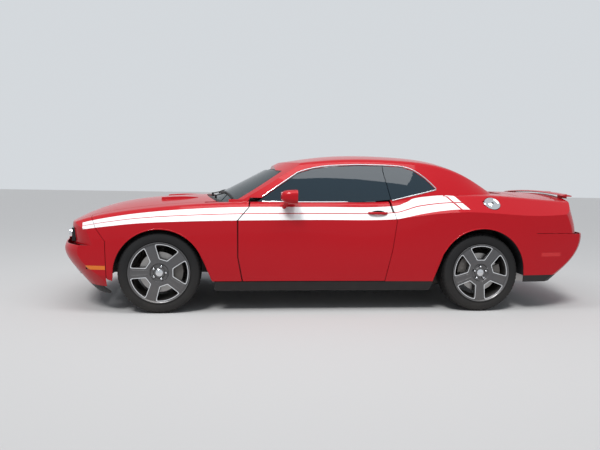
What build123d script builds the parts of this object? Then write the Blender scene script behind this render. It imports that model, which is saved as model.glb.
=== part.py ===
from build123d import *
from functools import cache
from math import atan2, cos, degrees, hypot, pi, radians, sin, tan
import os

# Overall sizes of the car, in millimetres. The front points along -X and the left side along -Y.
length = 5022
body_width = 1923
wheelbase = 2946
front_overhang = 945
track = 1603

# Heights above the ground
floor_z = 195
door_foot_z = 290
glass_cut_z = 985

# Tyres and rims
tyre_radius = 364
tyre_width = 245
rim_radius = 254
rim_flange = 271
rim_lip = 11
bead_inset = 8
spokes = 5
front_rim_turn = -17
disc_radius = 180
disc_y = -28
disc_width = 28
hub_radius = 72
window_foot = 122
window_foot_half = 36
window_rim = 244
window_angle = 24.3
nut_circle = 57.5
nut_radius = 11
cap_radius = 31
fuel_x = 1480
fuel_y = 873
fuel_z = 1009
fuel_tilt = 44
fuel_radius = 74
fuel_hinge_rise = -2
seat_y = 400
mirror_y = -955
mirror_z = 1053
wheel_x = -330
wheel_z = 905
column_tilt = 24
spindle_radius = 28

# Wheel arches and wheel houses
arch_radius_front = 400
arch_radius_rear = 408
arch_top_front = 751
arch_top_rear = 780
house_inner_front = 484
house_inner_rear = 640
steer_lock = 35
kingpin_inset = 20
kingpin_radius = 12

# Skins, walls, glass and gaps
skin = 6
fascia_skin = 10
wall = 42
glass = 5
door_wall = 155
panel_gap = 5
hinge_gap = 9
hinge_gap_top = 12
hood_gap = 6
seat_gap = 0.3

# Hood, cowl and screens
hood_thick = 30
hood_half_rear = 705
hood_half_front = 640
hood_rear_x = -1185
hood_rear_sweep = 110
hood_hinge_x = -1062
hood_hinge_z = 972
hood_hinge_y = 640
scoop_x = -1600
scoop_y = 330
lid_front_x = 1840
lid_gap = 14
lid_half = 650
lid_thick = 32
lid_hinge_y = 220
lid_hinge_z = 1097
lid_hinge_radius = 4.5
deck_front_x = 1742
screen_rake = 28
screen_top_x = -399
screen_top_z = 1396
screen_curve = 2200
screen_frame = 38

# Doors: edge lines in side view as (x, z), from the sill to the belt
door_front = [(-832, 267), (-876, 508), (-879, 835), (-777, 948), (-765, 1030)]
door_rear = [(463, 267), (526, 588), (560, 840), (522, 1000), (515, 1040)]
door_hinge_x = -800
door_hinge_y = -896
door_hinge_zs = (420, 780)
door_hinge_pin = 7
door_lip = 15

# Side windows: outline in side view as (x, z), and the line that parts door glass and quarter glass
side_window = [(-709, 985), (-709, 999), (-452, 1177), (-330, 1262), (-191, 1304), (-36, 1329),
               (240, 1344), (471, 1344), (666, 1335), (775, 1301), (879, 1230), (978, 1131),
               (672, 1058), (540, 1026), (389, 1012), (51, 985)]
glass_part = [(475, 1400), (475, 1286), (528, 1030), (532, 900)]

# Cabin, trunk and engine bay
toe_x = -900
seat_back_x = 1090
tail_wall_x = 2290
floor_top = 245
floor_thick = 30
trunk_floor_top = 485
cabin_half = 765
roof_half = 560
roof_rear_x = 1085
back_glass_half = 520
split_z = 742
valance_z = 345
valance_foot_z = 282
exhaust_tip_x = 2345
lamp_z = 840
lamp_radius = 52
lamp_ys = (450, 620)
lamp_height = 130
plate_x = 2462
plate_z = 642
plate_width = 320
plate_height = 162
plate_holes_y = 177.8
plate_holes_z = 120.65
plate_hole_radius = 3.2
jack_pad = 70
jack_pad_z = 203
jack_xs = (-860, 640)
jack_y = 740

half_w = body_width / 2
nose_x = -length / 2
tail_x = length / 2
axle_f = nose_x + front_overhang
axle_r = axle_f + wheelbase
wheel_y = track / 2

# Lower body sections. Each row: station x, top centre height, shoulder inset from the half width,
# shoulder height, crease inset, crease height, side bulge, skirt inset, foot inset, shoulder radius.
BODY = [
    (nose_x - 90, 640, 330, 600, 230, 560, 10, 240, 300, 60),
    (axle_f - 690, 868, 222, 815, 100, 728, 12, 104, 150, 60),
    (axle_f - 380, 958, 190, 885, 44, 778, 14, 52, 105, 60),
    (axle_f, 1006, 170, 936, 20, 812, 16, 32, 88, 60),
    (axle_f + 760, 1042, 146, 986, 36, 838, 14, 46, 92, 55),
    (axle_f + 1560, 1038, 136, 1002, 44, 846, 14, 52, 94, 50),
    (axle_r - 830, 1046, 134, 1014, 38, 860, 14, 48, 94, 50),
    (axle_r - 380, 1086, 140, 1062, 16, 920, 8, 34, 90, 60),
    (axle_r, 1106, 158, 1084, 0, 930, 6, 20, 84, 70),
    (axle_r + 480, 1102, 186, 1062, 12, 905, 8, 30, 90, 70),
    (tail_x + 90, 1076, 232, 1015, 90, 880, 10, 110, 140, 70),
]

# Greenhouse sections. Each row: station x, crown height, rail half width, rail height, belt half
# width, side bulge, rail radius.
CABIN = [
    (-1180, 1235, 655, 1200, 742, 12, 60),
    (-500, 1356, 612, 1330, 795, 14, 60),
    (-150, 1412, 612, 1372, 810, 14, 70),
    (300, 1447, 606, 1398, 815, 14, 70),
    (700, 1440, 602, 1390, 811, 14, 70),
    (1060, 1402, 590, 1346, 795, 14, 75),
    (1430, 1262, 566, 1200, 762, 12, 80),
    (1850, 1078, 530, 1015, 720, 10, 80),
]

# Plan outlines of the nose and tail at each height. Each row: height, centre set-back from the end,
# further set-back at the corner's start, half width there, set-back and half width at its end.
BUMPER = [
    (150, 330, 55, 600, 300, 860),
    (254, 205, 60, 600, 300, 880),
    (400, 75, 66, 600, 300, 905),
    (540, 0, 70, 600, 310, 915),
    (600, 12, 72, 600, 310, 915),
]
NOSE = [
    (560, 95, 60, 610, 310, 915),
    (680, 86, 62, 610, 310, 915),
    (752, 78, 66, 610, 310, 915),
    (870, 120, 72, 610, 310, 915),
    (1150, 330, 80, 610, 310, 930),
]
REAR_BUMPER = [
    (150, 420, 60, 730, 380, 925),
    (345, 235, 66, 740, 360, 940),
    (517, 66, 72, 750, 350, 950),
    (633, 8, 74, 750, 340, 955),
    (735, 0, 74, 750, 330, 955),
]
TAIL = [
    (690, 66, 70, 740, 320, 955),
    (860, 82, 70, 730, 320, 950),
    (960, 98, 80, 720, 320, 945),
    (1150, 112, 90, 710, 320, 940),
]

os.makedirs("parts", exist_ok=True)
nodes = {}


def side_point(p, q, bulge):
    """Middle of the line p-q, moved outward by the bulge."""
    dy, dz = q[0] - p[0], q[1] - p[1]
    run = hypot(dy, dz)
    return ((p[0] + q[0]) / 2 - dz / run * bulge, (p[1] + q[1]) / 2 + dy / run * bulge)


def body_section(row, inset):
    """Closed section of the lower body at one station, moved inward by the inset."""
    x, top_z, sh_in, sh_z, cr_in, cr_z, bulge, sk_in, ft_in, radius = row
    shoulder = (half_w - sh_in - inset, sh_z - inset)
    crease = (half_w - cr_in - inset, cr_z - inset / 3)
    skirt = (half_w - sk_in - inset, door_foot_z)
    foot = (half_w - ft_in - inset, floor_z + inset)

    def at(p, side):
        return Vector(x, side * p[0], p[1])

    edges = [ThreePointArc(at(shoulder, -1), Vector(x, 0, top_z - inset), at(shoulder, 1))]
    for side in (1, -1):
        edges += [
            Line(at(shoulder, side), at(crease, side)),
            ThreePointArc(at(crease, side), at(side_point(crease, skirt, bulge), side),
                          at(skirt, side)),
            Line(at(skirt, side), at(foot, side)),
        ]
    edges.append(Line(at(foot, -1), at(foot, 1)))
    face = Face(Wire(edges))
    corners = [v for v in face.vertices() if abs(v.Z - shoulder[1]) < 0.01]
    return face.fillet_2d(radius - inset / 2, corners)


def cabin_section(row, inset):
    """Closed section of the greenhouse at one station, moved inward by the inset."""
    x, crown_z, rail_y, rail_z, belt_y, bulge, radius = row
    rail = (rail_y - inset, rail_z - inset)
    belt = (belt_y - inset, glass_cut_z)
    low = (belt_y - inset, glass_cut_z - 285)

    def at(p, side):
        return Vector(x, side * p[0], p[1])

    edges = [ThreePointArc(at(rail, -1), Vector(x, 0, crown_z - inset), at(rail, 1))]
    for side in (1, -1):
        edges += [
            ThreePointArc(at(rail, side), at(side_point(rail, belt, bulge), side), at(belt, side)),
            Line(at(belt, side), at(low, side)),
        ]
    edges.append(Line(at(low, -1), at(low, 1)))
    face = Face(Wire(edges))
    corners = [v for v in face.vertices() if abs(v.Z - rail[1]) < 0.01]
    return face.fillet_2d(radius - inset / 2, corners)


def end_outline(row, end_x, way, back):
    """Plan outline of one end of the car. The way is 1 at the nose and -1 at the tail."""
    z, centre, start, start_y, stop, stop_y = row
    x0 = end_x + way * centre
    x1 = x0 + way * start
    x2 = x0 + way * stop
    front = ThreePointArc(Vector(x1, -start_y, z), Vector(x0, 0, z), Vector(x1, start_y, z))
    edges = [front]
    for side, place in ((1, 1), (-1, 0)):
        a = Vector(x1, side * start_y, z)
        b = Vector(x2, side * stop_y, z)
        leave = front % place if side == 1 else -(front % place)
        edges += [TangentArc(a, b, tangent=leave), Line(b, Vector(back, side * 1010, z))]
    edges.append(Line(Vector(back, -1010, z), Vector(back, 1010, z)))
    return Face(Wire(edges))


@cache
def loft_body(inset=0):
    return loft([body_section(row, inset) for row in BODY])


@cache
def loft_cabin(inset=0):
    return loft([cabin_section(row, inset) for row in CABIN])


def loft_end(rows, end_x, way, back):
    return loft([end_outline(row, end_x, way, back) for row in rows])


def block(x0, x1, y0, y1, z0, z1):
    return Pos((x0 + x1) / 2, (y0 + y1) / 2, (z0 + z1) / 2) * Box(x1 - x0, y1 - y0, z1 - z0)


def side_prism(points, y0, y1):
    """Prism of a side-view outline, from one y to another."""
    face = Face(Wire.make_polygon([Vector(x, y0, z) for x, z in points], close=True))
    return Solid.extrude(face, Vector(0, y1 - y0, 0))


def plan_prism(points, z0, z1):
    """Prism of a plan outline, from one height to another."""
    face = Face(Wire.make_polygon([Vector(x, y, z0) for x, y in points], close=True))
    return Solid.extrude(face, Vector(0, 0, z1 - z0))


def rod(a, b, radius):
    """Round bar between two points."""
    a, b = Vector(*a), Vector(*b)
    plane = Plane(origin=a, z_dir=b - a)
    return Solid.extrude(Face(Wire(Edge.make_circle(radius, plane))), b - a)


def both(shape):
    """The shape and its mirror image on the other side of the car."""
    return shape + mirror(shape, about=Plane.XZ)


def ring_y(centre, outer, inner, y0, y1):
    """Ring about a line along Y."""
    x, z = centre
    body = Pos(x, (y0 + y1) / 2, z) * Rot(90, 0, 0) * Cylinder(outer, abs(y1 - y0))
    if inner:
        body -= Pos(x, (y0 + y1) / 2, z) * Rot(90, 0, 0) * Cylinder(inner, abs(y1 - y0) + 2)
    return body



shell = loft_body()
ends = (loft_end(NOSE, nose_x, 1, -1400) + loft_end(BUMPER, nose_x, 1, -1400)
        + block(-1500, 1300, -1100, 1100, 0, 1300)
        + loft_end(TAIL, tail_x, -1, 1200) + loft_end(REAR_BUMPER, tail_x, -1, 1200))
body = shell & ends


@cache
def screen_drum(depth):
    """Large drum whose top line is the windscreen, moved inward by the depth."""
    slope = radians(screen_rake)
    run = Vector(cos(slope), 0, sin(slope))
    up = Vector(-sin(slope), 0, cos(slope))
    top = Vector(screen_top_x, 0, screen_top_z)
    centre = top - up * screen_curve
    start = centre - run * 2500
    ring = Face(Wire(Edge.make_circle(screen_curve - depth, Plane(origin=start, z_dir=run))))
    return Solid.extrude(ring, run * 9000)


cabin = loft_cabin()
cabin_shell = cabin & screen_drum(0)
outer = body + cabin_shell


def hood_outline(grow, z0, z1):
    """Prism over the hood's plan outline, grown by a gap."""
    front = hood_half_front + grow
    rear = hood_half_rear + grow
    x0 = nose_x - 60
    x1 = hood_rear_x + hood_rear_sweep + grow
    face = Face(Wire([
        Line(Vector(x0, -front, z0), Vector(x0, front, z0)),
        Line(Vector(x0, front, z0), Vector(x1, rear, z0)),
        ThreePointArc(Vector(x1, rear, z0), Vector(hood_rear_x + grow, 0, z0),
                      Vector(x1, -rear, z0)),
        Line(Vector(x1, -rear, z0), Vector(x0, -front, z0)),
    ]))
    return Solid.extrude(face, Vector(0, 0, z1 - z0))


def arch(points, centre_x, top_z, radius, y_in):
    """Wheel arch on the left side: a round cut and its flared foot."""
    cut = ring_y((centre_x, top_z - radius), radius, 0, -1100, -y_in)
    foot = [(centre_x + dx, z) for dx, z in points]
    return cut + side_prism(foot, -y_in, -1100)


arch_front = arch([(-400, 351), (-412, 100), (500, 100), (470, 268), (372, 500)],
                  axle_f, arch_top_front, arch_radius_front, house_inner_front)
arch_rear = arch([(-372, 545), (-461, 295), (-495, 100), (412, 100), (408, 372)],
                 axle_r, arch_top_rear, arch_radius_rear, house_inner_rear)
arches = both(arch_front) + both(arch_rear)


def door_opening(front_gap, rear_gap, foot_gap, y0, y1, top_gap=0):
    """Side-view prism of the door, grown by its gaps."""
    points = [(x - (top_gap if top_gap and z > 800 else front_gap), z) for x, z in door_front] + [
        (x + rear_gap, z) for x, z in reversed(door_rear)]
    points = [(x, max(z, door_foot_z - foot_gap)) for x, z in points]
    return side_prism(points, y0, y1)


# Space inside the cabin, trunk and engine bay
cabin_room = ((loft_cabin(wall) & screen_drum(screen_frame)) + loft_cabin(wall + 13)
              + block(toe_x, seat_back_x, -cabin_half, cabin_half, floor_top, 1010))
trunk_room = loft_body(wall) & block(seat_back_x + 30, tail_wall_x, -house_inner_rear + 4,
                                     house_inner_rear - 4, trunk_floor_top, 1300)
hood_cut = hood_outline(hood_gap, 500, 1200)
lid_cut = block(lid_front_x - lid_gap, tail_x + 50, -lid_half - panel_gap, lid_half + panel_gap,
                965, 1250)

# Hood
hood = (body & hood_outline(0, 700, 1200)) - loft_body(hood_thick)
hood -= block(nose_x - 60, nose_x + 400, -800, 800, 500, 748)
ear = ring_y((hood_hinge_x, hood_hinge_z), 12, 5.3, -hood_hinge_y - 12, -hood_hinge_y)
ear += block(hood_hinge_x - 60, hood_hinge_x - 8, -hood_hinge_y - 12, -hood_hinge_y,
             hood_hinge_z - 8, hood_hinge_z + 9)
scoop = loft([
    Face(Wire.make_polygon([
        Vector(x, -scoop_y - half, z - 60), Vector(x, -scoop_y - half * 0.86, z),
        Vector(x, -scoop_y + half * 0.86, z), Vector(x, -scoop_y + half, z - 60)], close=True))
    for x, half, z in ((scoop_x, 84, 1007), (scoop_x + 130, 92, 1017), (scoop_x + 340, 74, 1014))])
scoop_mouth = block(scoop_x - 10, scoop_x + 60, -scoop_y - 66, -scoop_y + 66, 987, 1002)
hood = hood + both(ear) + (both(scoop) - loft_body(hood_thick - 5)) - both(scoop_mouth)
nodes["hood"] = hood

# Front fenders
front_split = [(-2600, 0), (-2012, 0), (-2030, 640), (-2215, 900), (-2600, 900)]
fender = body & side_prism(
    [(-2400, door_foot_z), (-832, door_foot_z)] + door_front[1:] + [(-2400, 1200)],
    -1100, -hood_half_front)
fender -= loft_body(skin)
fender -= hood_cut
fender -= side_prism([(x + 3, z) for x, z in front_split], -1100, 0)
fender -= door_opening(hinge_gap, panel_gap, 10, -1100, -600, hinge_gap_top)
fender -= arch_front
fender -= loft_cabin(-3)
fender -= block(-1075, -700, -hood_half_rear - panel_gap, 0, 700, 1200)
nodes["fender_left"] = fender

# Doors
door = body & door_opening(0, 0, 0, -1100, -cabin_half - panel_gap)
door -= loft_body(door_lip) & block(-1000, door_hinge_x + 30, -1100, -600, 0, 1200)
door -= side_prism([(x - 16, z) for x, z in door_rear] + [(x + 60, z) for x, z in reversed(door_rear)],
                   -half_w + 75, -600)
for z in door_hinge_zs:
    for z0, z1 in ((z - 38, z - 14), (z + 14, z + 38)):
        eye = Pos(door_hinge_x, door_hinge_y, (z0 + z1) / 2) * Cylinder(12, z1 - z0)
        eye += block(door_hinge_x, door_hinge_x + 34, door_hinge_y - 4, door_hinge_y + 4, z0, z1)
        eye -= Pos(door_hinge_x, door_hinge_y, (z0 + z1) / 2) * Cylinder(
            door_hinge_pin + seat_gap, z1 - z0 + 2)
        door += eye
door += block(-430, 130, -cabin_half - panel_gap - 1, -700, 650, 702)
nodes["door_left"] = door

# Side glass
def side_outline(points, shrink):
    """Side-view prism of an outline, shrunk by a gap all round."""
    face = Face(Wire.make_polygon([Vector(x, -1000, z) for x, z in points], close=True))
    return Solid.extrude(offset(face, -shrink, kind=Kind.INTERSECTION).face(), Vector(0, 600, 0))


pane = loft_cabin(2) - loft_cabin(2 + glass)
door_side = side_prism([(-1200, 800)] + [(x, z) for x, z in reversed(glass_part)] + [(-1200, 1400)],
                       -1100, -400)
quarter_side = side_prism([(x + panel_gap + 1, z) for x, z in glass_part] + [(1400, 900), (1400, 1400)],
                          -1100, -400)
door_pane = (pane & side_outline(side_window, panel_gap) & door_side) - door - block(
    -1000, 1000, -1000, -400, 900, 990)
nodes["door_glass_left"] = door_pane
window_cut = side_prism([(x, z) for x, z in side_window], -1100, -500)

# Body sides: pillar, rail, quarter panel and hinge pillar
front_line = -1010
side = outer & block(front_line, tail_x + 20, -1100, -back_glass_half, floor_z, 1500)
side -= block(-1100, roof_rear_x, -roof_half - 1, 0, 900, 1500)
side -= cabin_room
side -= trunk_room
side -= arch_rear
side -= door_opening(hinge_gap + 1, panel_gap, 6, -1100, -500, hinge_gap_top)
side -= block(front_line - 10, 950, -1100, -500, 0, door_foot_z - 4)
side -= window_cut
side -= block(deck_front_x, tail_x + 60, -lid_half - panel_gap, 0, 900, 1300)
side -= block(roof_rear_x, tail_x, -back_glass_half, 0, 900, 1500)
side -= body & block(front_line - 10, -760, -1100, 0, 0, 1200)
side -= block(front_line, tail_x + 60, -house_inner_rear - 20, 0, 0, 900)
side -= block(1900, tail_x + 60, -1100, 0, 0, split_z)
side -= block(axle_r, tail_x + 60, -1100, 0, 0, valance_z)
side -= block(2240, tail_x + 60, -770, 0, 0, 968)
side += block(-965, -778, -788, -cabin_half - 1, floor_top + seat_gap, 955)
side += block(-965, -778, -805, -cabin_half - 1, door_foot_z + 5, 955)
side += cabin & block(-965, -790, -cabin_half - 5, -714, 880, 1012)
side -= block(-1010, -895, -713.7, 0, 900, 1100)
side += loft_body(4) & block(2080, 2120, -1000, -880, split_z - 4 + seat_gap, split_z)
for z in door_hinge_zs:
    side += block(door_hinge_x - 5, door_hinge_x + 5, door_hinge_y, -800, z - 12, z + 12)
    side += Pos(door_hinge_x, door_hinge_y, z) * Cylinder(door_hinge_pin, 84)
nodes["body_side_left"] = side

# Quarter glass sits in the body side
quarter_pane = pane & side_outline(side_window, seat_gap) & quarter_side
quarter_pane -= body
nodes["quarter_glass"] = both(quarter_pane)

# Roof, rear deck, screens
nodes["roof_panel"] = (cabin_shell - cabin_room) & block(
    -520, roof_rear_x - seat_gap, -roof_half - 0.7, roof_half + 0.7, 1200, 1500)
deck = (outer - loft_body(wall)) - loft_cabin(wall)
nodes["rear_deck"] = deck & block(deck_front_x, lid_front_x - lid_gap, -lid_half - panel_gap + seat_gap,
                                  lid_half + panel_gap - seat_gap, 1000, 1200)
nodes["rear_window"] = (loft_cabin(1) - loft_cabin(1 + glass)) & block(
    roof_rear_x, deck_front_x - seat_gap, -back_glass_half + seat_gap, back_glass_half - seat_gap,
    1050, 1450)
screen = (loft_cabin(wall + 13 + seat_gap) & screen_drum(1)) - screen_drum(1 + glass)
screen -= loft_body(22 - seat_gap)
nodes["windscreen"] = screen & block(-1300, -200, -900, 900, 950, 1450)

# Cowl tray ahead of the windscreen
cowl = (loft_body(22) - loft_body(40)) & block(hood_rear_x - 40, -880, -700, 700, 900, 1100)
cowl -= hood_outline(2 * panel_gap, 800, 1200)
cowl -= both(block(-1200, hood_hinge_x + 20, -720, -630, 800, 1200))
nodes["cowl"] = cowl

# Front frame: bulkhead, aprons, upper and lower rails, radiator support
frame_top = loft_body(50)
apron_thick = 85
fender_boss_y = 730
frame = block(toe_x - 30, toe_x, -713, 713, floor_top + seat_gap, 1060) & loft_body(40 + seat_gap)
frame -= block(toe_x - 40, toe_x + 10, -112, 112, 0, 368)
apron = block(-2165, toe_x - 30, -480, -446, 300, 775)
shelf = frame_top - loft_body(apron_thick)
apron += block(-2140, -966 - seat_gap, -fender_boss_y - 20, -446, 775, 1100) & shelf
apron += block(-2140, toe_x - 30, -480, -446, 770, 1000) & frame_top
apron += block(-2190, toe_x, -446, -400, 400, 520)
fender_boss = Part() + [Pos(x, -fender_boss_y, 900) * Cylinder(12, 200)
                        for x in (-2000, -1700, -1400, -1100)]
apron += (fender_boss & loft_body(skin + seat_gap)) - loft_body(apron_thick - 5)
apron += block(hood_hinge_x - 9, hood_hinge_x + 9, -668, -657, 930, hood_hinge_z + 8)
apron += ring_y((hood_hinge_x, hood_hinge_z), 5, 0, -668, -hood_hinge_y + 3)
frame += both(apron)
frame += block(-2190, -2165, -600, 600, 330, 700)
frame += block(-2316 + seat_gap, -2180, -500, 500, 600, 660)
nodes["front_frame"] = frame

engine = block(-1880, -1180, -270, 270, 330, 800) + both(block(-1600, -1540, -400 + seat_gap, -260, 430, 480))
nodes["engine_block"] = engine

# Floor
floor = block(toe_x - 58, seat_back_x, -789, 789, floor_top - floor_thick, floor_top) - arches
floor -= block(700, seat_back_x + 10, -900, -house_inner_rear + 1, 0, 400)
floor -= block(700, seat_back_x + 10, house_inner_rear - 1, 900, 0, 400)
floor += block(toe_x, seat_back_x, -140, 140, floor_top - 10, floor_top + 150)
floor -= block(toe_x - 80, seat_back_x - 30, -110, 110, 0, floor_top + 120)
floor += block(seat_back_x, seat_back_x + 30, -636, 636, floor_top - floor_thick, 899)
floor -= block(seat_back_x - 40, seat_back_x + 40, -110, 110, 0, floor_top + 120)
floor += block(seat_back_x, tail_wall_x + 20, -636, 636, trunk_floor_top - 30, trunk_floor_top)
walls = block(920, tail_wall_x + 20, -house_inner_rear + 1, -612, floor_top - floor_thick, 899.7)
walls -= block(1600, tail_wall_x + 60, -700, -500, 0, trunk_floor_top - 30)
walls -= ring_y((axle_r, tyre_radius), 60, 0, -700, -500)
walls -= block(axle_r - 40, axle_r + 40, -700, -500, 270, 350)
floor += both(walls)
floor += block(tail_wall_x, tail_wall_x + 20, -636, 636, trunk_floor_top - 30, 735)
for x in jack_xs:
    floor += both(block(x - jack_pad / 2, x + jack_pad / 2, -jack_y - jack_pad / 2, -jack_y + jack_pad / 2,
                        jack_pad_z, floor_top - floor_thick))
nodes["floor_pan"] = floor

# Sill mouldings
sill = body & block(-1085, 920, -1000, -789 - seat_gap, floor_z, door_foot_z - 6)
sill -= arches
nodes["sills"] = both(sill)

# Front fascia, chin, grille and lamps
ends_in = (loft_end(NOSE, nose_x + fascia_skin, 1, -1400) + loft_end(BUMPER, nose_x + fascia_skin, 1, -1400)
           + block(-1500, 1300, -1100, 1100, 0, 1300)
           + loft_end(TAIL, tail_x - fascia_skin, -1, 1200)
           + loft_end(REAR_BUMPER, tail_x - fascia_skin, -1, 1200))
cover = body - block(-2000, 1650, -1100, 1100, 0, 1300) - (loft_body(fascia_skin) & ends_in)
front = cover & (side_prism([(x - 2, z) for x, z in front_split], -1100, 1100))
front -= hood_outline(hood_gap, 700, 1200)
front -= arches
front -= block(-3000, -2000, -1100, 1100, 0, 238)
grille_room = block(-2520, -2200, -734 - seat_gap, 734 + seat_gap, 623 - seat_gap, 741 + seat_gap)
intake_room = block(-2600, -2200, -519 - seat_gap, 519 + seat_gap, 286 - seat_gap, 399 + seat_gap)
front -= grille_room
front -= intake_room
nodes["front_fascia"] = front
lamps = []
for y in lamp_ys:
    for side_way in (-1, 1):
        lamps.append(Pos(-2358.3, side_way * y, 682) * Rot(0, 90, 0) * Cylinder(lamp_radius, 60))
nodes["headlamps"] = Part() + lamps
grille = block(-2345, -2328, -734, -722, 623, 741) + block(-2345, -2328, 722, 734, 623, 741)
for z in (640, 661, 682, 703, 724):
    grille += block(-2345, -2328, -734, 734, z - 3, z + 3)
grille -= Part() + [Pos(-2345, w * y, 682) * Rot(0, 90, 0) * Cylinder(lamp_radius + 3, 120)
                    for y in lamp_ys for w in (-1, 1)]
grille += block(-2328, -2316, -734, 734, 623, 741)
for y in lamp_ys:
    for way in (-1, 1):
        ring = Cylinder(lamp_radius + 6, 22) - Cylinder(lamp_radius + seat_gap, 24)
        grille += Pos(-2339, way * y, 682) * Rot(0, 90, 0) * ring
lower_bars = loft_end(BUMPER, nose_x + 5, 1, -1400) - loft_end(BUMPER, nose_x + 22, 1, -1400)
lower_bars &= block(-2600, -2200, -519, 519, 286, 399)
slots = Part() + [block(-2600, -2200, -499, 499, z, z + 12) for z in (300, 324, 348, 372)]
lower_bars -= slots - loft_end(BUMPER, nose_x + 15, 1, -1400)
grille += lower_bars
nodes["grille"] = grille
dam = (loft_end(BUMPER, nose_x + 1, 1, -1400) - loft_end(BUMPER, nose_x + 14, 1, -1400))
dam &= block(-2500, -1990, -840, 840, 165, 237.7)
nodes["air_dam"] = dam

# Tail: cover, lamp panel, lamps, valance, lid and spoiler
rear = cover & block(1900, 2600, -1100, 1100, valance_z, split_z - 4)
rear -= arches
rear += body & block(plate_x - 10, tail_x + 20, -plate_width / 2 - 10, plate_width / 2 + 10,
                     plate_z - plate_height / 2 - 10, plate_z + plate_height / 2 + 10)
rear -= block(plate_x, tail_x + 20, -plate_width / 2, plate_width / 2,
              plate_z - plate_height / 2, plate_z + plate_height / 2)
for y in (-plate_holes_y / 2, plate_holes_y / 2):
    for z in (plate_z - plate_holes_z / 2, plate_z + plate_holes_z / 2):
        rear -= Pos(plate_x - 5, y, z) * Rot(0, 90, 0) * Cylinder(plate_hole_radius, 14)
nodes["rear_fascia"] = rear
valance = cover & block(1750, 2600, -1100, 1100, valance_foot_z, valance_z - seat_gap)
valance -= arches
valance -= both(block(2000, 2600, -510, -390, 200, valance_z - 10))
nodes["rear_valance"] = valance
panel = cover & block(2200, 2600, -766, 766, split_z - 4 + seat_gap, 960)
lamp_room = block(2200, 2600, -700, 700, lamp_z - lamp_height / 2, lamp_z + lamp_height / 2)
nodes["tail_panel"] = panel - lamp_room
tail_body = body - (loft_end(TAIL, tail_x - 12, -1, 1200) + block(-3000, 1500, -1100, 1100, 0, 1300))
lamp_band = (body & (loft_end(TAIL, tail_x - 8, -1, 1200))) - loft_end(TAIL, tail_x - 45, -1, 1200)
lamp_band &= block(2200, 2600, -700 + seat_gap, 700 - seat_gap, lamp_z - lamp_height / 2 + seat_gap,
                   lamp_z + lamp_height / 2 - seat_gap)
nodes["tail_lamps"] = lamp_band
lid = (body - (loft_body(lid_thick) & loft_end(TAIL, tail_x - lid_thick, -1, 1200))) & block(
    lid_front_x, 2600, -lid_half, lid_half, 970, 1200)
lid_hinge_x = lid_front_x - lid_gap / 2


def lid_knuckle(y0, y1, reach):
    """Hinge knuckle in the gap ahead of the trunk lid, with its link to one edge."""
    place = (lid_hinge_x, lid_hinge_z)
    link = block(min(lid_hinge_x, lid_hinge_x + reach), max(lid_hinge_x, lid_hinge_x + reach),
                 y0, y1, lid_hinge_z - 3, lid_hinge_z + 2)
    return ring_y(place, lid_hinge_radius, 0, y0, y1) + link


lid_ear = lid_knuckle(-lid_hinge_y - 10, -lid_hinge_y + 10, lid_gap)
lid_ear -= ring_y((lid_hinge_x, lid_hinge_z), 2 + seat_gap, 0, -lid_hinge_y - 12, -lid_hinge_y + 12)
nodes["trunk_lid"] = lid + both(lid_ear)
deck_ear = lid_knuckle(-lid_hinge_y - 24, -lid_hinge_y - 11, -lid_gap)
deck_ear += lid_knuckle(-lid_hinge_y + 11, -lid_hinge_y + 24, -lid_gap)
deck_ear += ring_y((lid_hinge_x, lid_hinge_z), 2, 0, -lid_hinge_y - 24, -lid_hinge_y + 24)
nodes["rear_deck"] = nodes["rear_deck"] + both(deck_ear)

# Spoiler on the lid's rear edge, standing on two feet
blade = loft([
    Face(Wire.make_polygon([Vector(2300, y, 1112 - drop), Vector(2330, y, 1122 - drop),
                            Vector(2462 - back, y, 1114 - drop), Vector(2464 - back, y, 1104 - drop),
                            Vector(2330, y, 1104 - drop)], close=True))
    for y, drop, back in ((-640, 26, 60), (-330, 7, 16), (0, 0, 0), (330, 7, 16), (640, 26, 60))])
feet = both(block(2315, 2400, -560, -530, 1000, 1100)) - loft_body(-seat_gap)
nodes["spoiler"] = blade + (feet & block(2200, 2500, -700, 700, 900, 1108))

# Fuel door on the left shoulder, hinged at its front edge
fuel_at = Vector(fuel_x, -fuel_y, fuel_z)
fuel_out = Vector(0, -sin(radians(fuel_tilt)), cos(radians(fuel_tilt)))
fuel_plane = Plane(origin=fuel_at, x_dir=Vector(1, 0, 0), z_dir=fuel_out)
cap = fuel_plane * Cylinder(fuel_radius, 8)
fuel_hinge = fuel_plane * Pos(-fuel_radius - 3, 0, fuel_hinge_rise) * Rot(90, 0, 0)
cap += fuel_hinge * Cylinder(4, 26)
cap += fuel_plane * Pos(-fuel_radius + 4, 0, 0) * Box(14, 26, 5)
cap -= fuel_hinge * Cylinder(1.8, 30)
well = fuel_plane * Pos(0, 0, 10) * Cylinder(fuel_radius + panel_gap, 62)
well += fuel_plane * Pos(-fuel_radius, 0, 10) * Box(30, 56, 62)
hinge_pin = fuel_hinge * Cylinder(1.5, 62)
nodes["fuel_door"] = cap
nodes["body_side_left"] = nodes["body_side_left"] - well + hinge_pin

# Wheels: rim with hub and brake disc, and tyre
def wheel_solid(profile, centre_x):
    """Solid of revolution about the wheel's axle; profile points are (radius, y from the wheel's middle)."""
    face = Face(Wire.make_polygon([Vector(centre_x + r, y, tyre_radius) for r, y in profile], close=True))
    return Solid.revolve(face, 360, Axis((centre_x, 0, tyre_radius), (0, 1, 0)))


def make_tyre(centre_x):
    half = tyre_width / 2
    outline = [(rim_radius + seat_gap, -half + 14), (rim_radius + 22, -half + 9), (tyre_radius - 55, -half),
               (tyre_radius - 22, -half + 6), (tyre_radius - 5, -half + 24), (tyre_radius, -half + 62)]
    profile = outline + [(r, -y) for r, y in reversed(outline)]
    return Pos(0, -wheel_y, 0) * wheel_solid(profile, centre_x)


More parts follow.
